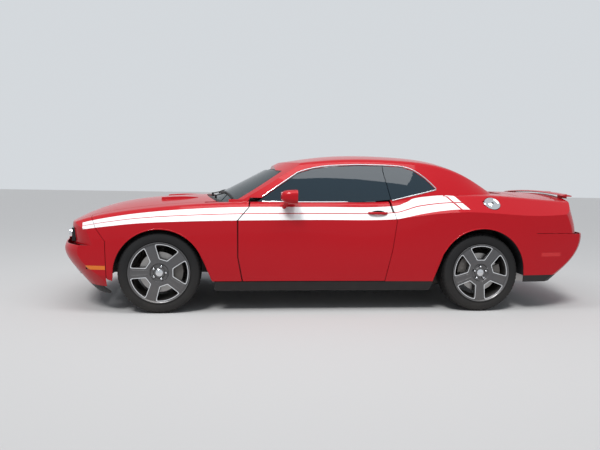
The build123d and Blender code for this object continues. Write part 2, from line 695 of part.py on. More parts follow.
def make_rim(centre_x, turn):
    bead = tyre_width / 2 - bead_inset
    half = bead + rim_lip
    barrel = [(rim_radius, -bead), (rim_flange, -bead), (rim_flange, -half), (rim_flange - 6, -half),
              (rim_radius - 9, -bead + 4), (rim_radius - 9, half - 20), (rim_flange - 6, half),
              (rim_flange, half), (rim_flange, bead), (rim_radius, bead)]
    rim = wheel_solid(barrel, centre_x)
    bore = spindle_radius + seat_gap
    face_line = [(hub_radius - 30, -112), (hub_radius, -114), (160, -108), (rim_radius - 4, -116),
                 (rim_radius - 4, -94), (160, -82), (hub_radius + 8, -74), (hub_radius + 8, disc_y),
                 (bore, disc_y), (bore, -80), (4, -80), (4, -112)]
    rim += wheel_solid(face_line, centre_x)
    rim += ring_y((centre_x, tyre_radius), 8, 0, -112, -80)
    rim += ring_y((centre_x, tyre_radius), disc_radius, bore, disc_y - disc_width, disc_y)
    window = []
    for k in range(spokes):
        angle = 90 + turn + k * 360 / spokes
        far = [(window_rim * cos(radians(a)), window_rim * sin(radians(a)))
               for a in (window_angle, window_angle * 0.66, window_angle * 0.33)]
        half = [(window_foot, window_foot_half)] + far
        outline = half + [(window_rim, 0)] + [(r, -w) for r, w in reversed(half)]
        c, q = cos(radians(angle)), sin(radians(angle))
        corners = [Vector(centre_x + r * c - w * q, -130, tyre_radius + r * q + w * c) for r, w in outline]
        hole = Solid.extrude(Face(Wire.make_polygon(corners, close=True)), Vector(0, 80, 0))
        window.append(hole)
    rim -= Part() + window
    for k in range(spokes):
        angle = radians(90 + turn + k * 360 / spokes)
        nut = (centre_x + nut_circle * cos(angle), tyre_radius + nut_circle * sin(angle))
        rim += ring_y(nut, nut_radius, 0, -122, -100)
    rim += ring_y((centre_x, tyre_radius), cap_radius, 0, -122, -100)
    return Pos(0, -wheel_y, 0) * rim


for name, x, turn in (("front", axle_f, front_rim_turn), ("rear", axle_r, 0)):
    nodes[f"tyre_{name}_left"] = make_tyre(x)
    nodes[f"rim_{name}_left"] = make_rim(x, turn)

# Knuckles, brakes and suspension
kingpin_y = wheel_y - kingpin_inset


def make_knuckle(x):
    """Upright with spindle and brake caliper, on the left side."""
    upright = block(x - 30, x + 30, -wheel_y - 4, -kingpin_y + 24, tyre_radius - 70, tyre_radius + 70)
    upright += ring_y((x, tyre_radius), spindle_radius, 0, -wheel_y - 79, -kingpin_y)
    upright += Pos(x, -kingpin_y, tyre_radius) * Cylinder(kingpin_radius, 256)
    clamp = ring_y((x, tyre_radius), disc_radius + 24, disc_radius - 56, -wheel_y - 75, -wheel_y + 38)
    clamp -= ring_y((x, tyre_radius), disc_radius + 5, 0, -wheel_y + disc_y - disc_width - 5,
                    -wheel_y + disc_y + 5)
    clamp &= side_prism([(x, tyre_radius), (x + 300, tyre_radius - 125), (x + 300, tyre_radius + 125)],
                        -1000, -600)
    arm = block(x + 20, x + 150, -wheel_y + 18, -wheel_y + 38, tyre_radius - 40, tyre_radius + 40)
    return upright + clamp + arm


nodes["knuckle_left"] = make_knuckle(axle_f)
pin_low = tyre_radius - 114
pin_high = tyre_radius + 114
arms = Part()
for z, inner, drop in ((pin_low, 396, 0), (pin_high, 480.3, 0)):
    eye = Cylinder(kingpin_radius + 14, 22) - Cylinder(kingpin_radius + seat_gap, 30)
    arms += Pos(axle_f, -kingpin_y, z) * eye
    arms += block(axle_f - 22, axle_f + 22, -kingpin_y + 18, -inner, z - 11, z + 11)
damper = rod((axle_f, -560, pin_low + 11), (axle_f, -560, 774.7), 26) - block(
    axle_f - 60, axle_f + 60, -600, -500, pin_high - 11 - seat_gap, pin_high + 11 + seat_gap)
cross = block(axle_f - 60, axle_f + 60, -396, 396, 225, 300)
nodes["suspension_front"] = both(arms) + cross + both(damper)

rear_knuckle = make_knuckle(axle_r)
rear_links = block(axle_r - 25, axle_r + 25, -kingpin_y + 20, -380, 285, 315)
rear_frame = Part() + [block(axle_r + dx - 25, axle_r + dx + 25, -395, 395, 200, 238) for dx in (-110, 110)]
rear_spring = rod((axle_r + 60, -560, 315), (axle_r + 60, -560, trunk_floor_top - 30 - seat_gap), 40)
rear_links += block(axle_r - 25, axle_r + 90, -590, -530, 285, 315)
rear_links += block(axle_r - 135, axle_r + 135, -395, -365, 200, 315)
nodes["suspension_rear"] = both(rear_knuckle + rear_links + rear_spring) + rear_frame

# Driveline and exhaust
shaft_z = 300
drive = block(-1180 + seat_gap, -560, -95, 95, 235, 355)
drive += Pos(330, 0, shaft_z) * Rot(0, 90, 0) * Cylinder(32, 1800)
drive += block(1225, 1500, -110, 110, 238 + seat_gap, 392)
half_shaft = ring_y((axle_r, tyre_radius), 16, 0, -kingpin_y + 24 + seat_gap, -100)
nodes["driveline"] = drive + both(half_shaft)
pipe = Part()
route = [(-1050, -240, 182), (900, -240, 182), (1200, -280, 165), (1540, -300, 165), (1700, -440, 300)]
for a, b in zip(route, route[1:]):
    pipe += rod(a, b, 26)
for q in route[1:-1]:
    pipe += Pos(*q) * Sphere(26)
pipe += block(1640, 2130, -590, -320, 232, 360)
pipe += rod((2100, -450, 290), (exhaust_tip_x, -450, 290), 38)
pipe -= rod((exhaust_tip_x - 60, -450, 290), (exhaust_tip_x + 1, -450, 290), 34)
pipe += block(-300, -270, -250, -230, 190, floor_top - floor_thick - seat_gap)
pipe += block(1900, 1930, -470, -430, 350, trunk_floor_top - 30 - seat_gap)
nodes["exhaust"] = both(pipe)

# Cabin
dash_points = [(toe_x + seat_gap, 640), (toe_x + seat_gap, 940), (-800, 975), (-640, 960), (-520, 905),
               (-505, 830), (-560, 740), (-600, 640)]
nodes["dashboard"] = side_prism(dash_points, -712, 712)
tunnel_top = floor_top + 150
console = block(-598, 330, -112, 112, tunnel_top + seat_gap, 545)
console += block(-40, 320, -105, 105, 545, 610)
console += rod((-190, 0, 540), (-210, 0, 640), 9) + Pos(-212, 0, 650) * Sphere(24)
nodes["console"] = console


def make_seat(y):
    cushion = side_prism([(-360, 300), (-380, 400), (-350, 455), (-120, 450), (190, 420), (220, 300)],
                         y - 250, y + 250)
    rest = side_prism([(130, 400), (165, 330), (300, 360), (480, 900), (440, 990), (370, 985), (330, 900)],
                      y - 245, y + 245)
    head = side_prism([(405, 1010), (395, 1120), (420, 1165), (480, 1150), (492, 1020), (455, 1000)],
                      y - 135, y + 135)
    head += rod((435, y - 60, 950), (445, y - 60, 1030), 7) + rod((435, y + 60, 950), (445, y + 60, 1030), 7)
    for near, far in ((-250, -185), (185, 250)):
        cushion += side_prism([(-350, 430), (-320, 478), (60, 482), (190, 440), (190, 400), (-330, 400)],
                              y + near, y + far)
        rest += side_prism([(140, 420), (110, 470), (180, 640), (285, 850), (360, 900), (420, 840),
                            (230, 420)], y + near, y + far)
    rails = block(-300, 200, y - 190, y - 160, floor_top + seat_gap, 310) + block(
        -300, 200, y + 160, y + 190, floor_top + seat_gap, 310)
    return cushion + rest + head + rails


bench = side_prism([(600, floor_top + seat_gap), (580, 420), (620, 465), (900, 440), (1040, 850), (1000, 905),
                    (seat_back_x - seat_gap, 905), (seat_back_x - seat_gap, floor_top + seat_gap)], -600, 600)
bench -= block(500, 1200, -141, 141, 0, tunnel_top + seat_gap)
nodes["seats"] = both(make_seat(-400)) + bench

# Steering wheel on its column
wheel_axis = Vector(-cos(radians(column_tilt)), 0, -sin(radians(column_tilt)))
wheel_at = Vector(wheel_x, -seat_y, wheel_z)
wheel_plane = Plane(origin=wheel_at, x_dir=Vector(0, 1, 0), z_dir=wheel_axis)
steering = wheel_plane * Torus(182, 15)
steering += wheel_plane * Pos(0, 0, 12) * Cylinder(62, 46)
for angle in (0, 180, 270):
    steering += wheel_plane * Rot(0, 0, angle) * Pos(115, 0, 6) * Box(130, 34, 12)
nodes["steering_wheel"] = steering
column = wheel_plane * Pos(0, 0, 35 + seat_gap + 130) * Cylinder(34, 260)
dials = side_prism([(-640, 950), (-600, 1000), (-500, 1003), (-488, 985), (-545, 925)], -seat_y - 190,
                   -seat_y + 190)
stack = side_prism([(-600, 600), (-600, 950), (-520, 930), (-478, 760), (-500, 600)], -140, 140)
glove = block(-560, -508, 170, 560, 720, 890)
column -= block(-700, -660, -500, -200, 600, 700)
nodes["dashboard"] = nodes["dashboard"] + dials + stack + glove + column

# Mirrors, wipers, side lamps, wheel liners
mirror_rows = ((-506, 96, 50, 22), (-488, 158, 86, 36), (-440, 196, 112, 44), (-366, 206, 120, 40))
shell_m = loft([Plane(origin=(x, mirror_y, mirror_z), x_dir=(0, 1, 0), z_dir=(-1, 0, 0))
                * RectangleRounded(wide, high, corner) for x, wide, high, corner in mirror_rows])
mirror_face = Plane(origin=(-366, mirror_y, mirror_z), x_dir=(0, 1, 0), z_dir=(-1, 0, 0))
shell_m -= extrude(mirror_face * RectangleRounded(186, 100, 32), 9)
stalk = rod((-440, -905, 1010), (-475, -830, 935), 17)
nodes["mirror_left"] = (shell_m + stalk) - body - door_pane

# Wipers: blades that lie on the curved screen, each with an arm from its pivot in the cowl
wiper = Part()
blade_room = screen_drum(-13) - screen_drum(1 - seat_gap)
for tip, foot, pivot, middle in (((-935, -640), (-1055, -80), (-1090, -420), (-995, -360)),
                                 ((-1070, 0), (-958, 560), (-1135, 190), (-1014, 280))):
    wiper += blade_room & plan_prism([tip, foot, (foot[0] + 12, foot[1]), (tip[0] + 12, tip[1])], 900, 1200)
    wiper += rod((*pivot, 1032), (middle[0] + 6, middle[1], 1060), 5)
    wiper += Pos(*pivot, 1022) * Cylinder(11, 36)
wiper -= loft_body(22 - seat_gap)
nodes["wipers"] = wiper

front_mark = (body - loft_body(8)) & block(-2199, -2029, -1100, -600, 390, 425)
rear_mark = (body - loft_body(8)) & block(1959, 2161, -1100, -600, 522, 558)
nodes["side_markers"] = both(front_mark) + both(rear_mark)
mark_cut = both(block(-2199.3, -2028.7, -1100, -600, 389.7, 425.3)) + both(
    block(1958.7, 2161.3, -1100, -600, 521.7, 558.3))
nodes["front_fascia"] = nodes["front_fascia"] - mark_cut
nodes["rear_fascia"] = nodes["rear_fascia"] - mark_cut
liner = ring_y((axle_f, arch_top_front - arch_radius_front), arch_radius_front + 12, arch_radius_front + 4,
               -895, -480 - seat_gap)
liner &= block(axle_f - 500, axle_f + 500, -1000, -400, 420, 800)
liner -= block(axle_f - 40, axle_f + 40, -610, -400, 420, 800)
nodes["wheel_liners"] = both(liner)

for side_name in ("fender", "door", "door_glass", "body_side", "mirror", "knuckle", "tyre_front", "tyre_rear",
                  "rim_front", "rim_rear"):
    nodes[f"{side_name}_right"] = mirror(nodes[f"{side_name}_left"], about=Plane.XZ)
# Only the left side carries the fuel door
nodes["body_side_right"] = mirror(side, about=Plane.XZ)

for name, shape in nodes.items():
    print(name, shape.is_valid, len(shape.solids()), round(shape.volume / 1e6, 2))
    export_step(shape, f"parts/{name}.step")
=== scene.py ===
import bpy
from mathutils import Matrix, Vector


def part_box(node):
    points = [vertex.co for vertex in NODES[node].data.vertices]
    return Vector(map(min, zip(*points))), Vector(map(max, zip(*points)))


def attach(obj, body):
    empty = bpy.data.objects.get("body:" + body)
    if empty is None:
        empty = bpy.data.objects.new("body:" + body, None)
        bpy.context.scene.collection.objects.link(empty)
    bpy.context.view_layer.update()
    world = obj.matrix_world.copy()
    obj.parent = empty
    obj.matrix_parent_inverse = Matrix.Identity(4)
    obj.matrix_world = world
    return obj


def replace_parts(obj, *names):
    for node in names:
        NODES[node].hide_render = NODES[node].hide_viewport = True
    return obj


bl_info = {
    "name": "Muscle car dressing",
    "version": (1, 0, 0),
    "blender": (4, 5, 0),
    "location": "View3D > Sidebar > Car",
    "description": "Dresses the packed two-door coupe with paint, glass, wheels, trim, cabin and stage",
    "category": "Object",
}

from math import atan2, cos, hypot, pi, radians, sin

import bpy
from mathutils import Matrix, Vector
from mathutils.bvhtree import BVHTree

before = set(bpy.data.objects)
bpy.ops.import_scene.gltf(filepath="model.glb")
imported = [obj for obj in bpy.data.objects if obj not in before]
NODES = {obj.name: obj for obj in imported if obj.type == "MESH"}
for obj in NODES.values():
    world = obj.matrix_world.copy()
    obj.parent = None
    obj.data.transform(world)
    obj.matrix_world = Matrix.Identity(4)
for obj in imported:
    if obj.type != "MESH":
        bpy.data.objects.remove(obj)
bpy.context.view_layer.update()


def centre_of(node):
    low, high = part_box(node)
    return (low + high) / 2


AXLE_FRONT = centre_of("tyre_front_left")
AXLE_REAR = centre_of("tyre_rear_left")
SIDES = ("left", "right")
SIDE_WAYS = (("left", -1), ("right", 1))
MIRROR_Y = Matrix.Scale(-1, 4, (0, 1, 0))
FINISHES = {}
GROUPS = {}


# ---------------------------------------------------------------- modelling helpers
def put_down_all():
    if bpy.context.object and bpy.context.object.mode != "OBJECT":
        bpy.ops.object.mode_set(mode="OBJECT")
    bpy.ops.object.select_all(action="DESELECT")


def pick(piece):
    put_down_all()
    piece.select_set(True)
    bpy.context.view_layer.objects.active = piece


def edit_all(piece):
    pick(piece)
    bpy.ops.object.mode_set(mode="EDIT")
    bpy.ops.mesh.select_all(action="SELECT")


def close_edit():
    """Turns all faces outwards and leaves edit mode."""
    bpy.ops.mesh.select_all(action="SELECT")
    bpy.ops.mesh.normals_make_consistent(inside=False)
    bpy.ops.object.mode_set(mode="OBJECT")


def coat(piece, key):
    """Gives a piece one finish and no other."""
    piece.data.materials.clear()
    piece.data.materials.append(FINISHES[key])
    return piece


def settle(piece, name, key, body="body", smooth=35):
    """Names a finished piece, gives it its finish, sets it at the origin and puts it on its body."""
    pick(piece)
    bpy.ops.object.transform_apply(location=True, rotation=True, scale=True)
    piece.name = name
    piece.data.name = name
    if key:
        coat(piece, key)
    if smooth:
        bpy.ops.object.shade_smooth_by_angle(angle=radians(smooth))
    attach(piece, body)
    return piece


def twin(piece, name, body, matrix, flip):
    """Copy of a finished piece with its own mesh, moved or mirrored."""
    copy = piece.copy()
    copy.data = piece.data.copy()
    copy.parent = None
    for key in list(copy.keys()):
        if key.startswith("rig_"):
            del copy[key]
    bpy.context.scene.collection.objects.link(copy)
    copy.data.transform(matrix)
    if flip:
        copy.data.flip_normals()
    copy.name = name
    copy.data.name = name
    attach(copy, body)
    return copy


def pair(piece, name, key, body="body", smooth=35):
    """Settles a piece of the left side and its mirror image, each on the body of its own side."""
    left, right = ("body", "body") if body == "body" else (body + "_left", body + "_right")
    piece = settle(piece, name + "_left", key, left, smooth)
    return piece, twin(piece, name + "_right", right, MIRROR_Y, True)


def apply_modifier(piece, kind, **values):
    pick(piece)
    mod = piece.modifiers.new(kind.title(), kind)
    for key, value in values.items():
        setattr(mod, key, value)
    bpy.ops.object.modifier_apply(modifier=mod.name)


def soften(piece, width, segments=2, angle=30):
    apply_modifier(piece, "BEVEL", width=width, segments=segments, limit_method="ANGLE",
                   angle_limit=radians(angle), harden_normals=False)


def cut_with(piece, cutter):
    apply_modifier(piece, "BOOLEAN", object=cutter, operation="DIFFERENCE", solver="EXACT")
    bpy.data.objects.remove(cutter)


def formed(bevel=0.0, segments=2):
    """Applies the size and turn of the primitive just added and rounds its edges."""
    bpy.ops.object.transform_apply(location=True, rotation=True, scale=True)
    piece = bpy.context.object
    if bevel:
        soften(piece, bevel, segments)
    return piece


def brick(low, high, bevel=0.0, segments=2):
    """Box between two corners, with rounded edges."""
    low, high = Vector(low), Vector(high)
    put_down_all()
    bpy.ops.mesh.primitive_cube_add(size=1, location=(low + high) / 2)
    bpy.context.object.scale = high - low
    return formed(bevel, segments)


def drum(centre, radius, depth, axis="Y", sides=48, bevel=0.0):
    """Round disc or bar with its middle at the centre."""
    turn = {"X": (0, pi / 2, 0), "Y": (pi / 2, 0, 0), "Z": (0, 0, 0)}[axis]
    put_down_all()
    bpy.ops.mesh.primitive_cylinder_add(vertices=sides, radius=radius, depth=depth, location=centre,
                                        rotation=turn)
    return formed(bevel)


def bar(a, b, radius, sides=12):
    """Round bar between two points."""
    a, b = Vector(a), Vector(b)
    put_down_all()
    bpy.ops.mesh.primitive_cylinder_add(vertices=sides, radius=radius, depth=(b - a).length,
                                        location=(a + b) / 2)
    bpy.context.object.rotation_mode = "QUATERNION"
    bpy.context.object.rotation_quaternion = (b - a).to_track_quat("Z", "Y")
    return formed()


def outline(points, fill="NOTHING"):
    """Closed line through the points, as a mesh."""
    put_down_all()
    bpy.ops.mesh.primitive_circle_add(vertices=len(points), radius=1, fill_type=fill)
    piece = bpy.context.object
    for vertex, point in zip(piece.data.vertices, points):
        vertex.co = point
    return piece


def plate(points, push, bevel=0.0, segments=2):
    """Flat outline pushed out into a solid."""
    piece = outline(points, "NGON")
    edit_all(piece)
    bpy.ops.mesh.extrude_region_move(TRANSFORM_OT_translate={"value": push})
    close_edit()
    if bevel:
        soften(piece, bevel, segments)
    return piece


def loop_plate(outer, inner, thickness):
    """Flat frame between two outlines with as many points each, given a thickness."""
    piece = join([outline(outer), outline(inner)])
    edit_all(piece)
    bpy.ops.mesh.bridge_edge_loops()
    close_edit()
    apply_modifier(piece, "SOLIDIFY", thickness=thickness, offset=0)
    return piece


def flat_frame(low, high, edge, z, thickness):
    """Rectangular frame that lies flat, from its outer corners and the width of its edge."""
    rings = []
    for inset in (0, edge):
        x0, y0, x1, y1 = low[0] + inset, low[1] + inset, high[0] - inset, high[1] - inset
        rings.append([(x0, y0, z), (x1, y0, z), (x1, y1, z), (x0, y1, z)])
    return loop_plate(*rings, thickness)


def lathe(profile, centre=(0, 0, 0), axis="Y", steps=96):
    """Closed profile of (radius, along) points spun about an axis through the centre."""
    centre = Vector(centre)
    along = Vector([float(way == axis) for way in "XYZ"])
    out = Vector((1, 0, 0)) if axis == "Z" else Vector((0, 0, 1))
    piece = outline([centre + out * r + along * s for r, s in profile])
    edit_all(piece)
    bpy.ops.mesh.spin(steps=steps, angle=2 * pi, center=centre, axis=along)
    bpy.ops.mesh.select_all(action="SELECT")
    bpy.ops.mesh.remove_doubles(threshold=1e-5)
    close_edit()
    return piece


def tube(points, radius, closed=False, sides=4):
    """Round bead along a line of points."""
    curve = bpy.data.curves.new("bead", "CURVE")
    curve.dimensions = "3D"
    curve.bevel_depth = radius
    curve.bevel_resolution = sides
    curve.use_fill_caps = True
    spline = curve.splines.new("POLY")
    spline.points.add(len(points) - 1)
    for target, point in zip(spline.points, points):
        target.co = (*point, 1)
    spline.use_cyclic_u = closed
    piece = bpy.data.objects.new("bead", curve)
    bpy.context.scene.collection.objects.link(piece)
    pick(piece)
    bpy.ops.object.convert(target="MESH")
    return bpy.context.object


def join(pieces):
    put_down_all()
    for piece in pieces:
        piece.select_set(True)
    bpy.context.view_layer.objects.active = pieces[0]
    if len(pieces) > 1:
        bpy.ops.object.join()
    return bpy.context.object


def turned(piece, matrix):
    piece.data.transform(matrix)
    return piece


def spun(piece, degrees):
    return turned(piece, Matrix.Rotation(radians(degrees), 4, "Z"))


def place_on(piece, origin, x_way, out_way):
    """Moves a piece made flat about the origin onto a surface: its X along one way, its Z outwards."""
    x_way, out_way = Vector(x_way).normalized(), Vector(out_way).normalized()
    matrix = Matrix((x_way, out_way.cross(x_way), out_way)).transposed().to_4x4()
    return turned(piece, Matrix.Translation(origin) @ matrix)


def at_y(points, y):
    """Side-view points at one distance across the car."""
    return [(x, y, z) for x, z in points]


def rounded(half_wide, half_high, corner, steps):
    """Rectangle with round corners about the origin, as (across, up) points."""
    points = []
    for k, (sx, sy) in enumerate(((1, 1), (-1, 1), (-1, -1), (1, -1))):
        for step in range(steps + 1):
            a = radians(k * 90 + step * 90 / steps)
            points.append((sx * (half_wide - corner) + corner * cos(a),
                           sy * (half_high - corner) + corner * sin(a)))
    return points


def between(points, step):
    """The same line with points no further apart than the step."""
    out = []
    for (x0, z0), (x1, z1) in zip(points, points[1:]):
        count = max(1, int(hypot(x1 - x0, z1 - z0) / step))
        out += [(x0 + (x1 - x0) * k / count, z0 + (z1 - z0) * k / count) for k in range(count)]
    return out + [points[-1]]


# ---------------------------------------------------------------- places on the CAD surfaces
SEARCH_TREES = {}


def ray(node, start, way):
    """First point and normal of a CAD node along a ray, or None."""
    if node not in SEARCH_TREES:
        mesh = NODES[node].data
        SEARCH_TREES[node] = BVHTree.FromPolygons([v.co for v in mesh.vertices],
                                                  [p.vertices for p in mesh.polygons])
    place, normal, _, _ = SEARCH_TREES[node].ray_cast(Vector(start), Vector(way))
    return None if place is None else (place, normal)


def side_hit(nodes, x, z):
    """Point and normal where a line across the car meets the left side of the named nodes."""
    hits = [h for h in (ray(node, (x, -2, z), (0, 1, 0)) for node in nodes) if h]
    return max(hits, key=lambda h: abs(h[0].y)) if hits else None


def end_hit(nodes, y, z, way):
    """Point and normal where a line along the car meets the nose (way -1) or the tail (way 1)."""
    hits = [h for h in (ray(node, (way * 4, y, z), (-way, 0, 0)) for node in nodes) if h]
    return max(hits, key=lambda h: h[0].x * way) if hits else None


def on_car_side(points, stand, nodes):
    """Points of a side view laid on the left side of the car, standing proud by a little."""
    hits = [hit for hit in (side_hit(nodes, x, z) for x, z in points) if hit]
    return [place + normal * stand for place, normal in hits]


# ---------------------------------------------------------------- materials
class Nodes:
    """A node tree with short ways to add to it."""

    def __init__(self, tree):
        self.tree = tree

    def put(self, value, socket):
        """Gives an input a constant, or a link where the value is an output."""
        if isinstance(value, bpy.types.NodeSocket):
            self.tree.links.new(value, socket)
        elif socket.type == "RGBA" and len(value) == 3:
            socket.default_value = (*value, 1)
        else:
            socket.default_value = value

    def node(self, kind, given=None, **values):
        """New node with its settings, and with its inputs by name or number."""
        node = self.tree.nodes.new(kind)
        for key, value in values.items():
            setattr(node, key, value)
        for key, value in (given or {}).items():
            self.put(value, node.inputs[key])
        return node

    def maths(self, operation, *given, clamp=False):
        return self.node("ShaderNodeMath", dict(enumerate(given)), operation=operation,
                         use_clamp=clamp).outputs[0]

    def times(self, first, *others):
        for other in others:
            first = self.maths("MULTIPLY", first, other)
        return first

    def below(self, value, limit):
        return self.maths("LESS_THAN", value, limit)

    def above(self, value, limit):
        return self.maths("GREATER_THAN", value, limit)

    def apart(self, value, middle=0.0):
        """How far a value is from a middle."""
        return self.maths("ABSOLUTE", self.maths("SUBTRACT", value, middle) if middle else value)

    def mix(self, factor, a, b):
        return self.node("ShaderNodeMix", {0: factor, 6: a, 7: b}, data_type="RGBA").outputs[2]

    def place(self):
        return self.node("ShaderNodeTexCoord").outputs["Object"]

    def axes(self, vector):
        return self.node("ShaderNodeSeparateXYZ", {0: vector}).outputs

    def noise(self, place, scale, detail=2):
        return self.node("ShaderNodeTexNoise", {"Vector": place, "Scale": scale, "Detail": detail}).outputs["Fac"]


def new_group(name, given, results):
    """Empty node group: a tuple stands for a colour and a number for a value."""
    tree = bpy.data.node_groups.new(name, "ShaderNodeTree")
    for way, sockets in (("INPUT", given), ("OUTPUT", results)):
        for label, value in sockets.items():
            kind = "NodeSocketColor" if isinstance(value, tuple) else "NodeSocketFloat"
            tree.interface.new_socket(label, in_out=way, socket_type=kind).default_value = value
    group = Nodes(tree)
    return group, group.node("NodeGroupInput").outputs, group.node("NodeGroupOutput").inputs


def grain_group():
    """Fine surface grain: a height for bump and an even roughness."""
    group, given, out = new_group("Fine grain", {"Scale": 400.0, "Roughness": 0.5, "Spread": 0.1},
                                  {"Height": 0.0, "Roughness": 0.0})
    place = group.place()
    shift = group.maths("SUBTRACT", group.noise(place, 7), 0.5)
    group.put(group.noise(place, given["Scale"], 3), out["Height"])
    group.put(group.maths("MULTIPLY_ADD", shift, given["Spread"], given["Roughness"]), out["Roughness"])
    return group.tree


def dust_group():
    """Road dust: more of it near the ground, broken up by noise."""
    group, given, out = new_group(
        "Road dust", {"Color": (0.5, 0.5, 0.5, 1), "Dust": (0.33, 0.28, 0.23, 1), "Amount": 0.2, "Height": 0.45},
        {"Color": (0.0, 0.0, 0.0, 1), "Mask": 0.0})
    place = group.place()
    low = group.node("ShaderNodeMapRange", {"Value": group.axes(place)["Z"], "From Max": given["Height"],
                                            "To Min": 1, "To Max": 0})
    broken = group.times(low.outputs[0], group.noise(place, 9, 8))
    amount = group.maths("MULTIPLY", broken, given["Amount"], clamp=True)
    group.put(group.mix(amount, given["Color"], given["Dust"]), out["Color"])
    group.put(amount, out["Mask"])
    return group.tree


class Finish(Nodes):
    """One material with its nodes at hand."""

    def __init__(self, name, colour, roughness=0.5, metallic=0.0, **sockets):
        self.material = bpy.data.materials.new(name)
        self.material.use_nodes = True
        super().__init__(self.material.node_tree)
        self.shader = self.tree.nodes["Principled BSDF"]
        self.give(Base_Color=colour, Roughness=roughness, Metallic=metallic, **sockets)
        self.material.diffuse_color = (*colour, 1)

    def give(self, **sockets):
        """Sets or links inputs of the shader."""
        for key, value in sockets.items():
            self.put(value, self.shader.inputs[key.replace("_", " ")])

    def bump(self, height, strength):
        raised = self.node("ShaderNodeBump", {"Height": height, "Strength": strength, "Distance": 0.001})
        self.give(Normal=raised.outputs["Normal"])

    def grain(self, scale, roughness, spread, bump):
        """Adds the fine grain."""
        grain = self.node("ShaderNodeGroup", {"Scale": scale, "Roughness": roughness, "Spread": spread},
                          node_tree=GROUPS["grain"])
        self.give(Roughness=grain.outputs["Roughness"])
        self.bump(grain.outputs["Height"], bump)

    def dust(self, colour, amount, height):
        """Adds road dust over a colour."""
        dust = self.node("ShaderNodeGroup", {"Color": colour, "Amount": amount, "Height": height},
                         node_tree=GROUPS["dust"])
        self.give(Base_Color=dust.outputs["Color"])


# Upper and lower edge of the side stripes, as (along, up) points, and the ranges that the curve nodes span
STRIPE_TOP = [(-2.241, 0.791), (-2.0, 0.843), (-1.683, 0.890), (-1.30, 0.925), (-0.87, 0.947), (-0.2, 0.957),
              (0.53, 0.973), (0.66, 1.008), (0.772, 1.049), (0.90, 1.066), (1.005, 1.075), (1.139, 1.076),
              (1.25, 1.07)]
STRIPE_FOOT = [(-2.226, 0.738), (-2.0, 0.772), (-1.683, 0.806), (-1.30, 0.823), (-0.87, 0.834), (-0.2, 0.845),
               (0.53, 0.858), (0.66, 0.880), (0.772, 0.905), (0.90, 0.928), (1.005, 0.943), (1.139, 0.955),
               (1.25, 0.956)]
STRIPE_SPAN = (-2.5, 1.5)
STRIPE_RISE = (0.7, 1.15)
STRIPE_FRONT, STRIPE_END, STRIPE_SLASH = -2.226, 1.245, 1.165
# Dark colour of the lining. It is real trim on the cabin side and under the hood and roof, and painted shade on the
# down faces of the trunk lid and the side panels
LINING_AND_SHADE_BLACK = (0.022, 0.022, 0.024)
SCREEN_TINT = (0.010, 0.022, 0.028)


def stripe_curve(finish, x, points):
    """Height of one stripe edge along the car, from a curve node."""
    x0, x1 = STRIPE_SPAN
    z0, z1 = STRIPE_RISE
    along = finish.node("ShaderNodeMapRange", {"Value": x, "From Min": x0, "From Max": x1})
    curve = finish.node("ShaderNodeFloatCurve")
    line = curve.mapping.curves[0]
    rows = [((px - x0) / (x1 - x0), (pz - z0) / (z1 - z0)) for px, pz in points]
    line.points[0].location = rows[0]
    line.points[1].location = rows[-1]
    for row in rows[1:-1]:
        line.points.new(*row)
    curve.mapping.update()
    finish.put(along.outputs[0], curve.inputs["Value"])
    return finish.maths("MULTIPLY_ADD", curve.outputs[0], z1 - z0, z0)


def stripe_mask(f, x, z):
    """Two bands with a thin line between them, ended by slanted slashes."""
    top, foot = stripe_curve(f, x, STRIPE_TOP), stripe_curve(f, x, STRIPE_FOOT)
    share = f.maths("DIVIDE", f.maths("SUBTRACT", z, foot), f.maths("SUBTRACT", top, foot))
    slant = f.maths("ADD", x, f.times(share, 0.115))
    return f.times(f.above(share, 0), f.below(share, 1), f.above(f.apart(share, 0.50), 0.035),
                   f.above(f.maths("SUBTRACT", x, f.times(share, -0.015)), STRIPE_FRONT),
                   f.below(slant, STRIPE_END), f.above(f.apart(slant, STRIPE_SLASH), 0.009))


def lining_and_shade_mask(f, where, cabin):
    """Faces that look down, and with the cabin also those that look inwards or do not look sideways near an axle.
    Inward cabin faces and the undersides of the hood and roof stand for real dark trim. The down faces of the trunk
    lid and the side panels are painted shade, and the faces near an axle are darkened as well.
    """
    facing = f.axes(f.node("ShaderNodeTexCoord").outputs["Normal"])
    # Down faces: real liner under the hood and roof, painted shade under the trunk lid and the side panels
    inner = f.below(facing["Z"], -0.6)
    if not cabin:
        return inner
    inward = f.below(f.times(facing["Y"], f.maths("SIGN", where["Y"])), -0.35)
    deep = f.times(*(f.below(f.apart(where[axis]), limit)
                     for axis, limit in (("Y", 0.80), ("Z", 0.93), ("X", 0.80))))
    flat = f.node("ShaderNodeCombineXYZ", {"X": where["X"], "Z": where["Z"]}).outputs[0]
    edge = f.below(f.apart(facing["Y"]), 0.45)
    masks = [inward, deep]
    # Faces near an axle that do not look sideways are darkened too
    for axle in (AXLE_FRONT, AXLE_REAR):
        far = f.node("ShaderNodeVectorMath", {0: flat, 1: (axle.x, 0, axle.z)}, operation="DISTANCE")
        masks.append(f.times(f.below(far.outputs["Value"], 0.47), edge))
    for mask in masks:
        inner = f.maths("MAXIMUM", inner, mask)
    return inner


